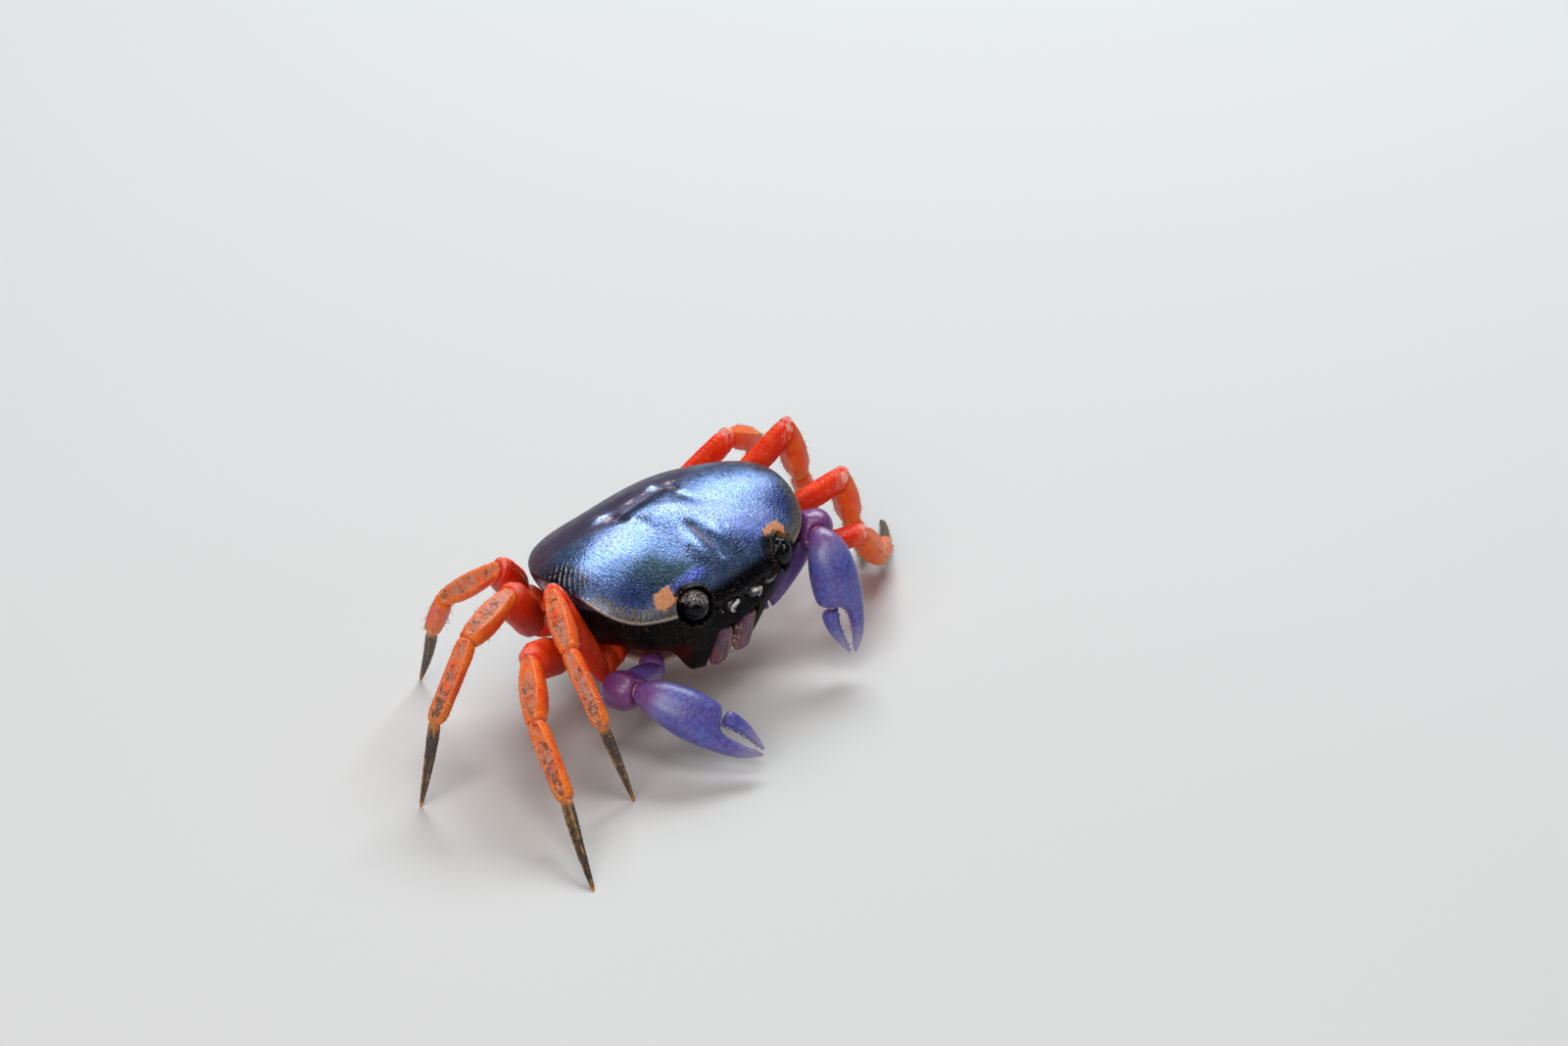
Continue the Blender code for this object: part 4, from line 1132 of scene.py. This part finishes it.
def new_piece(name, mesh):
    piece = bpy.data.objects.new(name, mesh)
    bpy.context.scene.collection.objects.link(piece)
    return piece


def mesh_piece(name, points, faces):
    mesh = bpy.data.meshes.new(name)
    mesh.from_pydata((points * MM).tolist(), [], faces)
    return new_piece(name, mesh)


def units(rows):
    return rows / np.linalg.norm(rows, axis=1, keepdims=True)


def face_outwards(piece):
    edit_all_of(piece)
    bpy.ops.mesh.normals_make_consistent(inside=False)
    bpy.ops.object.mode_set(mode="OBJECT")
    smooth_faces(piece)


def cone_mesh(name, roots, ways, bends, lengths, radii, spots, sides=4, steps=3):
    # roots and ways are n by 3 in millimetres; bends turn the tips; spots are places on the skin map
    helper = np.where(np.abs(ways[:, 2:]) < 0.9, np.array((0, 0, 1.0)), np.array((1.0, 0, 0)))
    a = units(np.cross(ways, helper))
    b = np.cross(ways, a)
    rows = []
    for k in range(steps):
        t = k / steps
        centre = roots + ways * (lengths * t)[:, None] + bends * (lengths * t * t)[:, None]
        thin = (radii * (1 - t) ** 0.8)[:, None]
        for i in range(sides):
            turn = 2 * math.pi * i / sides
            rows.append(centre + (a * math.cos(turn) + b * math.sin(turn)) * thin)
    rows.append(roots + ways * lengths[:, None] + bends * lengths[:, None])
    per = sides * steps + 1
    faces = []
    for start in range(0, len(roots) * per, per):
        faces.append([start + i for i in range(sides)])
        for k in range(steps):
            low = start + k * sides
            for i in range(sides):
                j = (i + 1) % sides
                upper = [low + sides + i, low + sides + j] if k < steps - 1 else [start + per - 1]
                faces.append([low + j, low + i] + upper)
    piece = mesh_piece(name, np.stack(rows, 1).reshape(-1, 3), faces)
    mesh = piece.data
    layer = mesh.uv_layers.new(name="OFBake")
    corner_of = np.empty(len(mesh.loops), int)
    mesh.loops.foreach_get("vertex_index", corner_of)
    inside = corner_of % per
    patch = np.stack([(inside % sides) / sides, (inside // sides) / steps], 1) * 0.003
    layer.data.foreach_set("uv", (np.asarray(spots)[corner_of // per] + patch).astype(np.float32).ravel())
    face_outwards(piece)
    return piece


def limb_roots(span, stops, relief, place, angle):
    here = on_limb(span, stops, relief, place, angle)
    further = on_limb(span, stops, relief, np.minimum(place + 0.01, 1), angle)
    beside = on_limb(span, stops, relief, place, angle + 0.02)
    out = np.cross(further - here, beside - here)
    out /= np.linalg.norm(out, axis=1, keepdims=True) + 1e-12
    return here - out * 0.06, out


# %% [markdown]
# The cones stand where the keels of the pieces lie, found with the same function that shaped the
# pieces, so no bristle floats. Each leg has its own seed, which keeps the rows alike but not equal.

# %% Grow bristles on the keels and spines on the tips
def two_tone(name, roughness, clouds, limits, dark, pale, ripples, relief, **plain):
    finish, shader, place = new_finish(name, roughness, **plain)
    tone = mix(soft(noise(place, *clouds), *limits), dark, pale)
    join_shader(shader, tone, noise(place, *ripples), *relief)
    return finish


bristle = two_tone("bristle", 0.55, (0.8, 2.0), (0.42, 0.58), (0.20, 0.11, 0.07), (0.78, 0.66, 0.52),
                   (9.0, 2.0), (0.3, 0.03))
tip_spine = two_tone("tip_spine", 0.45, (0.7, 3.0), (0.40, 0.60), (0.05, 0.022, 0.010), (0.55, 0.27, 0.05),
                     (9.0, 2.0), (0.3, 0.03))
# How many a keel, first and last place, shortest and longest, root radius.
BRISTLE_ROWS = {"merus": (14, 0.25, 0.90, 0.30, 0.55, 0.045), "carpus": (14, 0.10, 0.95, 0.40, 0.85, 0.050),
                "propodus": (18, 0.06, 0.95, 0.50, 1.05, 0.052)}
SPINE_ROW = (17, 0.06, 0.93, 0.30, 0.55, 0.085)
KEELS = 4


def keel_rows(draw, name, row, part_number):
    per_keel, first, last, short, long, radius = row
    span, stops, relief = limbs[name]
    spaced = np.linspace(first, last, per_keel)
    place = np.concatenate([spaced + draw.uniform(-0.015, 0.015, per_keel) for k in range(KEELS)])
    lines = np.repeat(np.arange(KEELS), per_keel)
    angle = np.where(lines < 2, np.pi / 2, -np.pi / 2) + np.where(lines % 2 == 0, 1, -1) * keel_spread(place)
    angle = angle + draw.uniform(-0.08, 0.08, KEELS * per_keel)
    roots, out = limb_roots(span, stops, relief, np.clip(place, 0.01, 0.99), angle * span["hand"])
    ways = units(out * 0.85 + span["along"] * 0.5 + draw.normal(0, 0.16, roots.shape))
    bends = np.tile(span["along"] * 0.25, (len(roots), 1))
    lengths = draw.uniform(short, long, len(roots))
    radii = radius * draw.uniform(0.8, 1.15, len(roots))
    spots = np.stack([0.04 + 0.22 * part_number + 0.2 * place, 0.05 + 0.9 * (angle % 6.2832) / 6.2832], 1)
    return roots, ways, bends, lengths, radii, spots


for word, number in LEGS:
    draw = np.random.default_rng(100 * number + (1 if word == "left" else 2))
    tag = "_" + word + "_" + str(number)
    rows = [keel_rows(draw, kind + tag, BRISTLE_ROWS[kind], k) for k, kind in enumerate(BRISTLE_ROWS)]
    piece = cone_mesh("bristles" + tag, *[np.concatenate(group) for group in zip(*rows)])
    dress(piece, bristle)
    roots, ways, bends, lengths, radii, spots = keel_rows(draw, "dactyl" + tag, SPINE_ROW, 3)
    fade = np.interp(spots[:, 0] - 0.70, (0, 0.2), (1.0, 0.55))
    piece = cone_mesh("tip_spines" + tag, roots, ways, bends, lengths * fade, radii * fade, spots)
    dress(piece, tip_spine)
print("bristles on", len(LEGS), "legs")

# %% [markdown]
# ## The claws
# The two pincers are smoother than the legs: swollen violet palms with straight fingers. The
# plain solids already bend the right way, so each is copied, welded, subdivided until it is
# smooth, and then swollen, wrinkled and given teeth where the real claw has them. A solid's mesh
# is loose triangles, so its copy is welded and turned back into quads before it is refined.

# %% Refine a copy of a solid
def welded_copy(node, name):
    piece = new_piece(name, nodes[node].data.copy())
    piece.data.name = name
    piece.data.materials.clear()
    edit_all_of(piece)
    bpy.ops.mesh.remove_doubles(threshold=0.000002)
    bpy.ops.mesh.customdata_custom_splitnormals_clear()
    bpy.ops.mesh.tris_convert_to_quads(face_threshold=math.radians(25), shape_threshold=math.radians(60))
    bpy.ops.object.mode_set(mode="OBJECT")
    return piece


def press_in(piece, points, depth):
    move_points(piece, points - vectors_of(piece, "normal") * depth[:, None])


def refined(node, name, levels):
    piece = welded_copy(node, name)
    modifier = piece.modifiers.new("smooth", "SUBSURF")
    modifier.levels = levels
    modifier.render_levels = levels
    apply_modifiers(piece)
    smooth_faces(piece)
    return piece


# %% [markdown]
# A palm starts at its wrist and then turns. Three directions describe it from there: along the
# palm, across it, and through its flat side. All that is on it is placed by distances along them.

# %% Where the claws lie
# Middle of the hip piece, middle of the carpus, way out of the carpus, and way of the palm.
CLAW_POSE = {
    "left": ((13.0, -10.4, -12.4), (21.8, -11.7, -3.4), (-0.50, -0.85, 0.20), (-0.05, -0.42, -0.91)),
    "right": ((13.0, -10.4, -12.4), (22.8, -12.8, -9.2), (-0.20, -0.95, 0.20), (-0.45, -0.80, -0.40)),
}
CARPUS_HALF = 2.4
HEEL_LENGTH = 2.7
HEEL_TURN = 3.0


def claw_frame(word):
    side = 1 if word == "left" else -1
    base, middle, leave, reach = (np.array(row, float) * MIRROR[side] for row in CLAW_POSE[word])
    arm = unit(middle - base)
    wrist = to_world(middle + unit(leave) * CARPUS_HALF)
    leave = TILT @ unit(leave)
    reach = TILT @ unit(reach)
    wide = unit(np.cross(leave, reach))
    if wide @ np.array((-side, 0, 0.5)) < 0:
        wide = -wide
    turned = wrist + leave * (GAP / 2) + leave * HEEL_LENGTH + reach * HEEL_TURN
    return {"wrist": wrist, "middle": to_world(middle), "elbow": to_world(middle - arm * CARPUS_HALF),
            "arm": TILT @ arm, "leave": leave, "reach": reach, "wide": wide, "turned": turned,
            "flat": np.cross(reach, wide)}


print("left palm starts at", np.round(claw_frame("left")["turned"], 1))

# %% [markdown]
# The claws are violet with a pale mottle and a soft shine, a painted pale highlight at the top of
# the palm, rosy at the arm and pale at the ends of the fingers. The same grain and dirt groups as on
# the legs tie them to the rest of the animal.

# %% Finish of the claws
# The first tint is a painted highlight at the top of the palm; the rosy arm and pale finger ends are the
# claw's own colours.
CLAW_TINTS = (("knuckle", 0.45, (0.26, 0.26, 0.50)), ("rosy", 0.7, (0.20, 0.018, 0.10)),
              ("finger_end", 0.6, (0.42, 0.36, 0.44)))
claw_violet, shader, place = new_finish("claw_violet", 0.36, Coat_Weight=0.25, Coat_Roughness=0.22)
mottle = noise(place, 1.6, 5.0, 0.7)
skin = use_group(grain, place, Grains_per_mm=3.0, Pits=0.45)
patchy = soft(noise(place, 0.30, 4.0, 0.6), 0.36, 0.64)
colour = mix(patchy, (0.060, 0.070, 0.340), (0.095, 0.060, 0.280))
colour = over(colour, soft(mottle, 0.46, 0.62), 0.55, (0.150, 0.165, 0.480))
colour = over(colour, soft(mottle, 0.42, 0.32), 0.6, (0.024, 0.020, 0.120))
for name, strength, tint in CLAW_TINTS:
    colour = over(colour, stored(place, name), strength, tint)
colour = over(colour, use_group(dirt, place, Amount=0.44)["Flecks"], 0.5, (0.25, 0.17, 0.12))
join_shader(shader, colour, skin["Height"], 0.4, 0.10, soft(mottle, 0.3, 0.7, 0.28, 0.46))

# %% [markdown]
# Small blunt teeth line the edges where the two fingers meet. Each is a squeezed ball set on the
# outermost point of its stretch of the edge, which is simpler than pulling teeth out of the mesh.

# %% Palms, fingers and their teeth
GRIP = 7.0
TEETH = 9
TOOTH_SPACING = 0.72


def add_tooth(middle, along, out, size):
    axes = (along * size, np.cross(along, out) * size * 0.8, out * size * 0.95)
    tooth = squeezed_ball(middle - out * 0.10, axes, 12, 8)
    paint(tooth, "finger_end", 1.0)
    return tooth


for word in ("left", "right"):
    claw_at = claw_frame(word)
    for part, name, inner_way in (("hand", "palm_", 1), ("finger", "finger_", -1)):
        node = "claw_" + word + "_" + part
        piece = refined(node, name + word, 3)
        points = points_of(piece)
        far, wide, flat = ((points - claw_at["turned"]) @ claw_at[axis] for axis in ("reach", "wide", "flat"))
        swell = 0.28 * bell(far, 2.8, 2.6) * bell(wide, 0, 2.6)
        groove = 0.10 * bell(np.abs(flat), 0.15, 0.25) * step(GRIP + 1.5, GRIP + 2.5, far)
        dots = 0.035 * np.sin(far * 7.3 + ripple(wide * 2, 1.0)) * np.sin(wide * 6.1) * np.sin(flat * 6.7)
        press_in(piece, points, groove - swell - dots)
        # Painted highlight: a pale lilac patch at the upper end of the palm.
        paint(piece, "knuckle", bell(far, -2.2, 1.6) * 0.8 if part == "hand" else 0.0)
        paint(piece, "rosy", step(-1.5, -4.0, far) * 0.7)
        paint(piece, "finger_end", step(GRIP + 2.5, GRIP + 7.6, far))
        teeth = []
        for k in range(TEETH):
            row = np.abs(far - (GRIP + 1.3 + TOOTH_SPACING * k)) < 0.45
            middle = points[row][np.argmax(wide[row] * inner_way)]
            size = 0.34 - 0.02 * k + 0.10 * (k % 3 == 1)
            teeth.append(add_tooth(middle, claw_at["reach"], claw_at["wide"] * inner_way, size))
        piece = merge_pieces([piece] + teeth, piece.name)
        dress(piece, claw_violet, node)
print("palms and fingers are in place")

# %% [markdown]
# The arm pieces behind the palm are short. The wrist piece, or carpus, is boxy and rosy where the
# light comes through it, with one blunt spine on its inner edge.

# %% Arms of the claws
ROSY = {"coxa": 0.8, "merus": 0.45, "carpus": 0.95}
BOXINESS = 3.4
for word in ("left", "right"):
    claw_at = claw_frame(word)
    for part in ("coxa", "merus", "carpus"):
        node = "claw_" + word + "_" + part
        piece = refined(node, "arm_" + part + "_" + word, 2 if part == "carpus" else 3)
        points = points_of(piece)
        x, y, z = points.T
        raised = 0.03 * np.sin(x * 6.5) * np.sin(y * 6.1) * np.sin(z * 6.8)
        if part == "carpus":
            arm = claw_at["arm"]
            wide = claw_at["wide"]
            local = points - claw_at["middle"]
            way = units(local)
            turned = units(np.abs(way @ np.stack([arm, wide, np.cross(arm, wide)], 1)))
            boxy = (turned ** BOXINESS).sum(1) ** (-1 / BOXINESS) - 1
            near = way @ unit(claw_at["leave"] * 0.5 - arm * 0.75 + wide * 0.1)
            spine = 0.75 * step(0.90, 1.0, near) + 0.12 * np.sin(9 * near) * step(0.2, 0.9, near)
            raised = raised + 1.3 * boxy + spine
        press_in(piece, points, -raised)
        for name, value in (("knuckle", 0.0), ("rosy", ROSY[part]), ("finger_end", 0.0)):
            paint(piece, name, value)
        dress(piece, claw_violet, node)
    skins = []
    for joint, way, wide in (("wrist", "leave", 1.35), ("elbow", "arm", 1.45)):
        turn = np.array(Vector(claw_at[way]).to_track_quat("Z", "Y").to_matrix())
        skins.append(squeezed_ball(claw_at[joint], turn.T * np.array((wide, wide, 0.7))[:, None]))
    piece = merge_pieces(skins, "joint_skins_claw_" + word)
    dress(piece, joint_skin)
print("arms dressed")

# %% [markdown]
# ## Eyes
# Each eye is a glossy black ball on a short stalk, deep in its cup. The back of the stalk is a
# grey brown crust that catches the light, with its glints painted on as pale flecks, so the ball
# carries two looks, parted by a mask.

# %% Eyes
eye_black, shader, place = new_finish("eye_black", 0.06, Specular_IOR_Level=0.16)
skin = use_group(grain, place, Grains_per_mm=3.6, Pits=0.3)
crust = mix(soft(noise(place, 2.4, 5.0, 0.8), 0.42, 0.60), (0.006, 0.005, 0.006), (0.26, 0.20, 0.185))
# Painted glints: pale flecks in the crust.
crust = mix(soft(noise(place, 4.6, 3.0, 0.7), 0.57, 0.63), crust, (0.90, 0.88, 0.92))
edge = plus(stored(place, "crust"), times(less(noise(place, 1.3, 5.0, 0.75), 0.5), 2.4))
crusted = soft(edge, 0.38, 0.62)
colour = mix(crusted, (0.0030, 0.0030, 0.005), crust)
join_shader(shader, colour, times(skin["Height"], crusted), 1.0, 0.26, soft(crusted, 0.1, 0.9, 0.07, 0.34))

CRUST_SHARE = {"left": 0.35, "right": 1.0}
for side, word in SIDES:
    middle = EYE_PLACE * MIRROR[side]
    way = EYE_WAY * MIRROR[side]
    eye = add_ball("eyeball_" + word, middle, way, EYE_RADIUS, 72, 48)
    points = points_of(eye)
    local = (points - to_world(middle)) / EYE_RADIUS
    up_back = local @ unit(TILT @ np.array((-0.25 * side, 0.15, 1.0)))
    front = local @ (TILT @ way)
    crusted = step(-0.10, 0.70, up_back - 0.1 * front) * CRUST_SHARE[word]
    lumps = 0.05 * ripple(points[:, 0] * 3.3, 0.4) * ripple(points[:, 1] * 3.7, 1.4) * crusted
    move_points(eye, points + local * lumps[:, None])
    paint(eye, "crust", crusted)
    smooth_faces(eye)
    dress(eye, eye_black, "eye_" + word)
print("eyes", EYE_RADIUS * 2, "mm across")

# %% [markdown]
# A ring of small beads guards each eye cup. One bead is shaped once and repeated around the rim,
# and the ring is a single joined mesh.

# %% Beads round the eye cups
BEADS = 44
bead_crust = two_tone("bead_crust", 0.5, (1.5, 4.0, 0.7), (0.42, 0.62), (0.008, 0.006, 0.007),
                      (0.10, 0.07, 0.055), (6.0, 3.0), (0.4, 0.05))


def bead_cloud(name, middles, sizes):
    bpy.ops.object.select_all(action="DESELECT")
    bpy.ops.mesh.primitive_ico_sphere_add(subdivisions=2, radius=1)
    first = bpy.context.object
    shape = points_of(first) * MM
    faces = np.array([tuple(face.vertices) for face in first.data.polygons])
    bpy.data.objects.remove(first, do_unlink=True)
    points = (middles[:, None, :] + shape[None] * sizes[:, None, None]).reshape(-1, 3)
    all_faces = (faces[None] + (np.arange(len(middles)) * len(shape))[:, None, None]).reshape(-1, 3)
    piece = mesh_piece(name, points, all_faces.tolist())
    smooth_faces(piece)
    return piece


draw = np.random.default_rng(5)
for side, word in SIDES:
    middle = to_world(EYE_PLACE * MIRROR[side])
    turn = np.array(turned_to(EYE_WAY * MIRROR[side]).to_3x3())
    ring = np.linspace(0, 2 * np.pi, BEADS, endpoint=False) + draw.uniform(-0.03, 0.03, BEADS)
    far = EYE_RADIUS + 0.74 + draw.uniform(-0.10, 0.14, BEADS)
    circle = np.stack([np.cos(ring) * far, np.sin(ring) * far, draw.uniform(0.35, 0.75, BEADS)], 1)
    piece = bead_cloud("rim_beads_" + word, middle + circle @ turn.T, draw.uniform(0.10, 0.20, BEADS))
    dress(piece, bead_crust)
print("beads round each eye:", BEADS)

# %% [markdown]
# ## Feelers
# Between the eyes lie the small folded feelers. Each has a dark rounded base and a pale curled
# whip, tucked sideways under the front edge. A thin second feeler stands beside it.

# %% Folded feelers
feeler_pale = two_tone("feeler_pale", 0.35, (1.8, 3.0), (0.4, 0.6), (0.30, 0.27, 0.26),
                       (0.62, 0.60, 0.58), (5.0, 2.0), (0.4, 0.05), Coat_Weight=0.3)
feeler_dark = two_tone("feeler_dark", 0.3, (1.6, 3.0), (0.45, 0.65), (0.010, 0.009, 0.013),
                       (0.09, 0.08, 0.10), (5.0, 2.0), (0.4, 0.05), Coat_Weight=0.3)
# Places from the middle of the base: sideways, back and up, for the crab's left side.
WHIP = [(-0.9, -0.75, 0.55), (-0.35, -1.25, 0.85), (0.45, -1.30, 0.75), (0.95, -1.05, 0.10),
        (0.75, -1.15, -0.65), (0.15, -1.30, -0.80)]
WHIP_RADII = (0.30, 0.30, 0.27, 0.24, 0.20, 0.10)
WHIP_SHARE = 0.85
SMALL_FEELER_PLACE = np.array((5.2, -15.7, -2.6))
SMALL_FEELER = [(0, 0.6, 0), (0.1, -0.5, 0.1), (0.5, -1.2, 0.5), (1.1, -1.6, 1.4)]
SMALL_FEELER_RADII = (0.42, 0.38, 0.24, 0.09)


def tube(name, path, radii, sides=14, fine=4):
    # A closed tapering tube through a few places, smoothed between them.
    path = np.asarray(path, float)
    t = np.arange(len(path))
    dense = np.linspace(0, len(path) - 1, fine * (len(path) - 1) + 1)
    line = np.stack([between(dense, list(zip(t, path[:, k]))) for k in range(3)], 1)
    size = between(dense, list(zip(t, radii)))
    run = units(np.gradient(line, axis=0))
    a = units(np.cross(run, np.array((0.3, 0.2, 1.0))))
    b = np.cross(run, a)
    turn = np.linspace(0, 2 * np.pi, sides, endpoint=False)[None, :, None]
    rings = line[:, None] + (a[:, None] * np.cos(turn) + b[:, None] * np.sin(turn)) * size[:, None, None]
    faces = [list(range(sides - 1, -1, -1))]
    for low in range(0, (len(line) - 1) * sides, sides):
        for i in range(sides):
            j = (i + 1) % sides
            faces.append([low + i, low + j, low + sides + j, low + sides + i])
    faces.append(list(range((len(line) - 1) * sides, len(line) * sides)))
    piece = mesh_piece(name, rings.reshape(-1, 3), faces)
    face_outwards(piece)
    return piece


for side, word in SIDES:
    middle = FEELER_PLACE * MIRROR[side]
    base = add_ball("feeler_base_" + word, middle, FEELER_WAY, FEELER_RADIUS * 0.93, 40, 26)
    smooth_faces(base)
    dress(base, feeler_dark, "antennule_" + word)
    path = [to_world(middle + np.array((side * x * WHIP_SHARE, y, z * WHIP_SHARE))) for x, y, z in WHIP]
    whip = tube("feeler_whip_" + word, path, WHIP_RADII)
    dress(whip, feeler_pale)
    path = [to_world((SMALL_FEELER_PLACE + np.array(spot)) * MIRROR[side]) for spot in SMALL_FEELER]
    thin = tube("small_feeler_" + word, path, SMALL_FEELER_RADII)
    dress(thin, feeler_dark)
print("feelers are in place")

# %% [markdown]
# ## Mouth plates and underside
# Two broad plates close the mouth. They are copies of their solids, made smooth, with a groove
# down each and a fringe of bristles along the inner edge. The underside is a pale jointed plate
# with a narrow tail folded over it, whose joints are pressed in as cross grooves.

# %% Mouth plates
mouth_plate, shader, place = new_finish("mouth_plate", 0.42, Coat_Weight=0.15)
tone = mix(soft(noise(place, 0.5, 4.0, 0.6), 0.38, 0.62), (0.060, 0.020, 0.060), (0.20, 0.045, 0.060))
tone = mix(soft(noise(place, 2.4, 4.0, 0.7), 0.55, 0.68, 0.0, 0.5), tone, (0.45, 0.30, 0.28))
skin = use_group(grain, place, Grains_per_mm=3.0, Pits=0.35)
join_shader(shader, tone, skin["Height"], 0.4, 0.1)

FRINGE = 70
FRINGE_LOW = -13.6
FRINGE_TOP = -7.6
for side, word in SIDES:
    piece = refined("maxilliped_" + word, "mouth_plate_" + word, 2)
    points = points_of(piece)
    x, y, z = to_body(points).T
    press_in(piece, points, 0.14 * bell(x * side - 2.7 - 0.05 * (z + 10), 0, 0.32) * step(-13.6, -12.6, z))
    dress(piece, mouth_plate, "maxilliped_" + word)
    draw = np.random.default_rng(31 + side)
    height = draw.uniform(FRINGE_LOW, FRINGE_TOP, FRINGE)
    inner = side * (0.55 + draw.uniform(0, 0.25, FRINGE))
    roots = np.stack([inner, -15.45 - 0.15 * (height + 10) + draw.uniform(0, 0.5, FRINGE), height], 1)
    ways = np.tile((-side * 0.75, -0.55, 0.0), (FRINGE, 1))
    ways[:, 2] = draw.uniform(-0.5, 0.1, FRINGE)
    ways = units(ways + draw.normal(0, 0.15, (FRINGE, 3))) @ TILT.T
    rise = (height - FRINGE_LOW) / (FRINGE_TOP - FRINGE_LOW)
    spots = np.stack([0.1 + 0.8 * rise, 0.5 + draw.uniform(-0.2, 0.2, FRINGE)], 1)
    bends = np.tile((0, 0, -0.2), (FRINGE, 1))
    lengths = draw.uniform(0.35, 0.75, FRINGE)
    radii = np.full(FRINGE, 0.032)
    fringe = cone_mesh("mouth_bristles_" + word, to_world(roots), ways, bends, lengths, radii, spots)
    dress(fringe, bristle)
print("mouth plates and their fringes are in place")

# %% Underside
belly_pale, shader, place = new_finish("belly_pale", 0.45, Coat_Weight=0.12)
tone = mix(soft(noise(place, 0.35, 5.0, 0.65), 0.36, 0.64), (0.50, 0.30, 0.20), (0.62, 0.47, 0.36))
tone = mix(soft(noise(place, 1.3, 5.0, 0.7), 0.52, 0.68, 0.0, 0.6), tone, (0.30, 0.13, 0.20))
tone = over(tone, stored(place, "seam"), 0.75, (0.13, 0.045, 0.05))
# Painted shade: the stored high mask darkens the upper parts, tucked under the shell, to dark red.
tone = mix(stored(place, "high"), tone, (0.11, 0.008, 0.006))
skin = use_group(grain, place, Grains_per_mm=2.6, Pits=0.3)
join_shader(shader, tone, skin["Height"], 0.35, 0.1)

SEAM_TURNS = (38, 13, -11, -37)
SEAM_DEPTH = 0.22
TAIL_JOINTS = (-1.6, 1.6, 4.8, 8.0, 11.2, 14.2, 17.0)
TAIL_JOINT_DEPTH = 0.16
TAIL_FOLD = 14.5
TAIL_LEVEL = -15.6


# The high mask is painted shade: the upper parts, tucked under the shell, turn dark red.
def dress_underside(piece, points, seam, depth, high, node):
    press_in(piece, points, depth * seam)
    paint(piece, "seam", seam)
    paint(piece, "high", high)
    dress(piece, belly_pale, node)


piece = refined("thorax", "breast_plate", 4)
points = points_of(piece)
x, y, z = to_body(points).T
side_x = np.abs(x)
seam = bell(side_x, 0, 0.3)
for turn in SEAM_TURNS:
    t = math.radians(turn)
    across = side_x * math.sin(t) + (y - 0.5) * math.cos(t)
    seam = np.maximum(seam, bell(across, 0, 0.30) * step(2.4, 3.6, side_x))
dress_underside(piece, points, seam * step(-11.5, -13.2, z), SEAM_DEPTH, step(-13.4, -12.2, z), "thorax")

piece = refined("abdomen", "folded_tail", 3)
points = points_of(piece)
x, y, z = to_body(points).T
along = np.where(y < TAIL_FOLD, y, TAIL_FOLD + z - TAIL_LEVEL)
seam = np.max([bell(along, joint, 0.26) for joint in TAIL_JOINTS], 0)
dress_underside(piece, points, seam, TAIL_JOINT_DEPTH, step(-9.0, -7.0, z), "abdomen")
print("underside dressed")

# %% [markdown]
# ## Floor and light
# A pale floor and soft panels: one large panel behind the crab gives the shell its long bright
# band, one above fills the legs, and a weak one in front keeps the dark wall readable.

# %% Floor and light panels
bpy.ops.object.select_all(action="DESELECT")
bpy.ops.mesh.primitive_plane_add(size=6)
floor = bpy.context.object
floor.name = "pale_floor"
floor_finish = new_finish("pale_floor", 0.8, Base_Color=(0.62, 0.61, 0.60), Specular_IOR_Level=0.2)[0]
floor.data.materials.append(floor_finish)

world = bpy.data.worlds.new("studio")
bpy.context.scene.world = world
world.use_nodes = True
world.node_tree.nodes["Background"].inputs["Color"].default_value = (0.85, 0.92, 1.0, 1)
world.node_tree.nodes["Background"].inputs["Strength"].default_value = 0.12


def add_panel(name, turn, rise, away, wide, deep, power, colour):
    light = bpy.data.lights.new(name, "AREA")
    light.shape = "RECTANGLE"
    light.size = wide
    light.size_y = deep
    light.energy = power
    light.color = colour
    panel = bpy.data.objects.new(name, light)
    bpy.context.scene.collection.objects.link(panel)
    a = math.radians(turn)
    e = math.radians(rise)
    way = Vector((math.sin(a) * math.cos(e), -math.cos(a) * math.cos(e), math.sin(e)))
    aimed = way.to_track_quat("Z", "Y").to_matrix().to_4x4()
    panel.matrix_world = Matrix.Translation(way * away + Vector((0, 0, 0.02))) @ aimed


add_panel("back_panel", 121, 50, 0.9, 0.66, 0.40, 8.2, (0.88, 0.95, 1.0))
add_panel("top_panel", -50, 66, 0.9, 0.36, 0.36, 2.2, (1.0, 0.98, 0.95))
add_panel("front_panel", -68, 34, 1.0, 0.5, 0.5, 4.4, (1.0, 0.96, 0.90))
bpy.context.scene.view_settings.view_transform = "Standard"
print("light panels are in place")
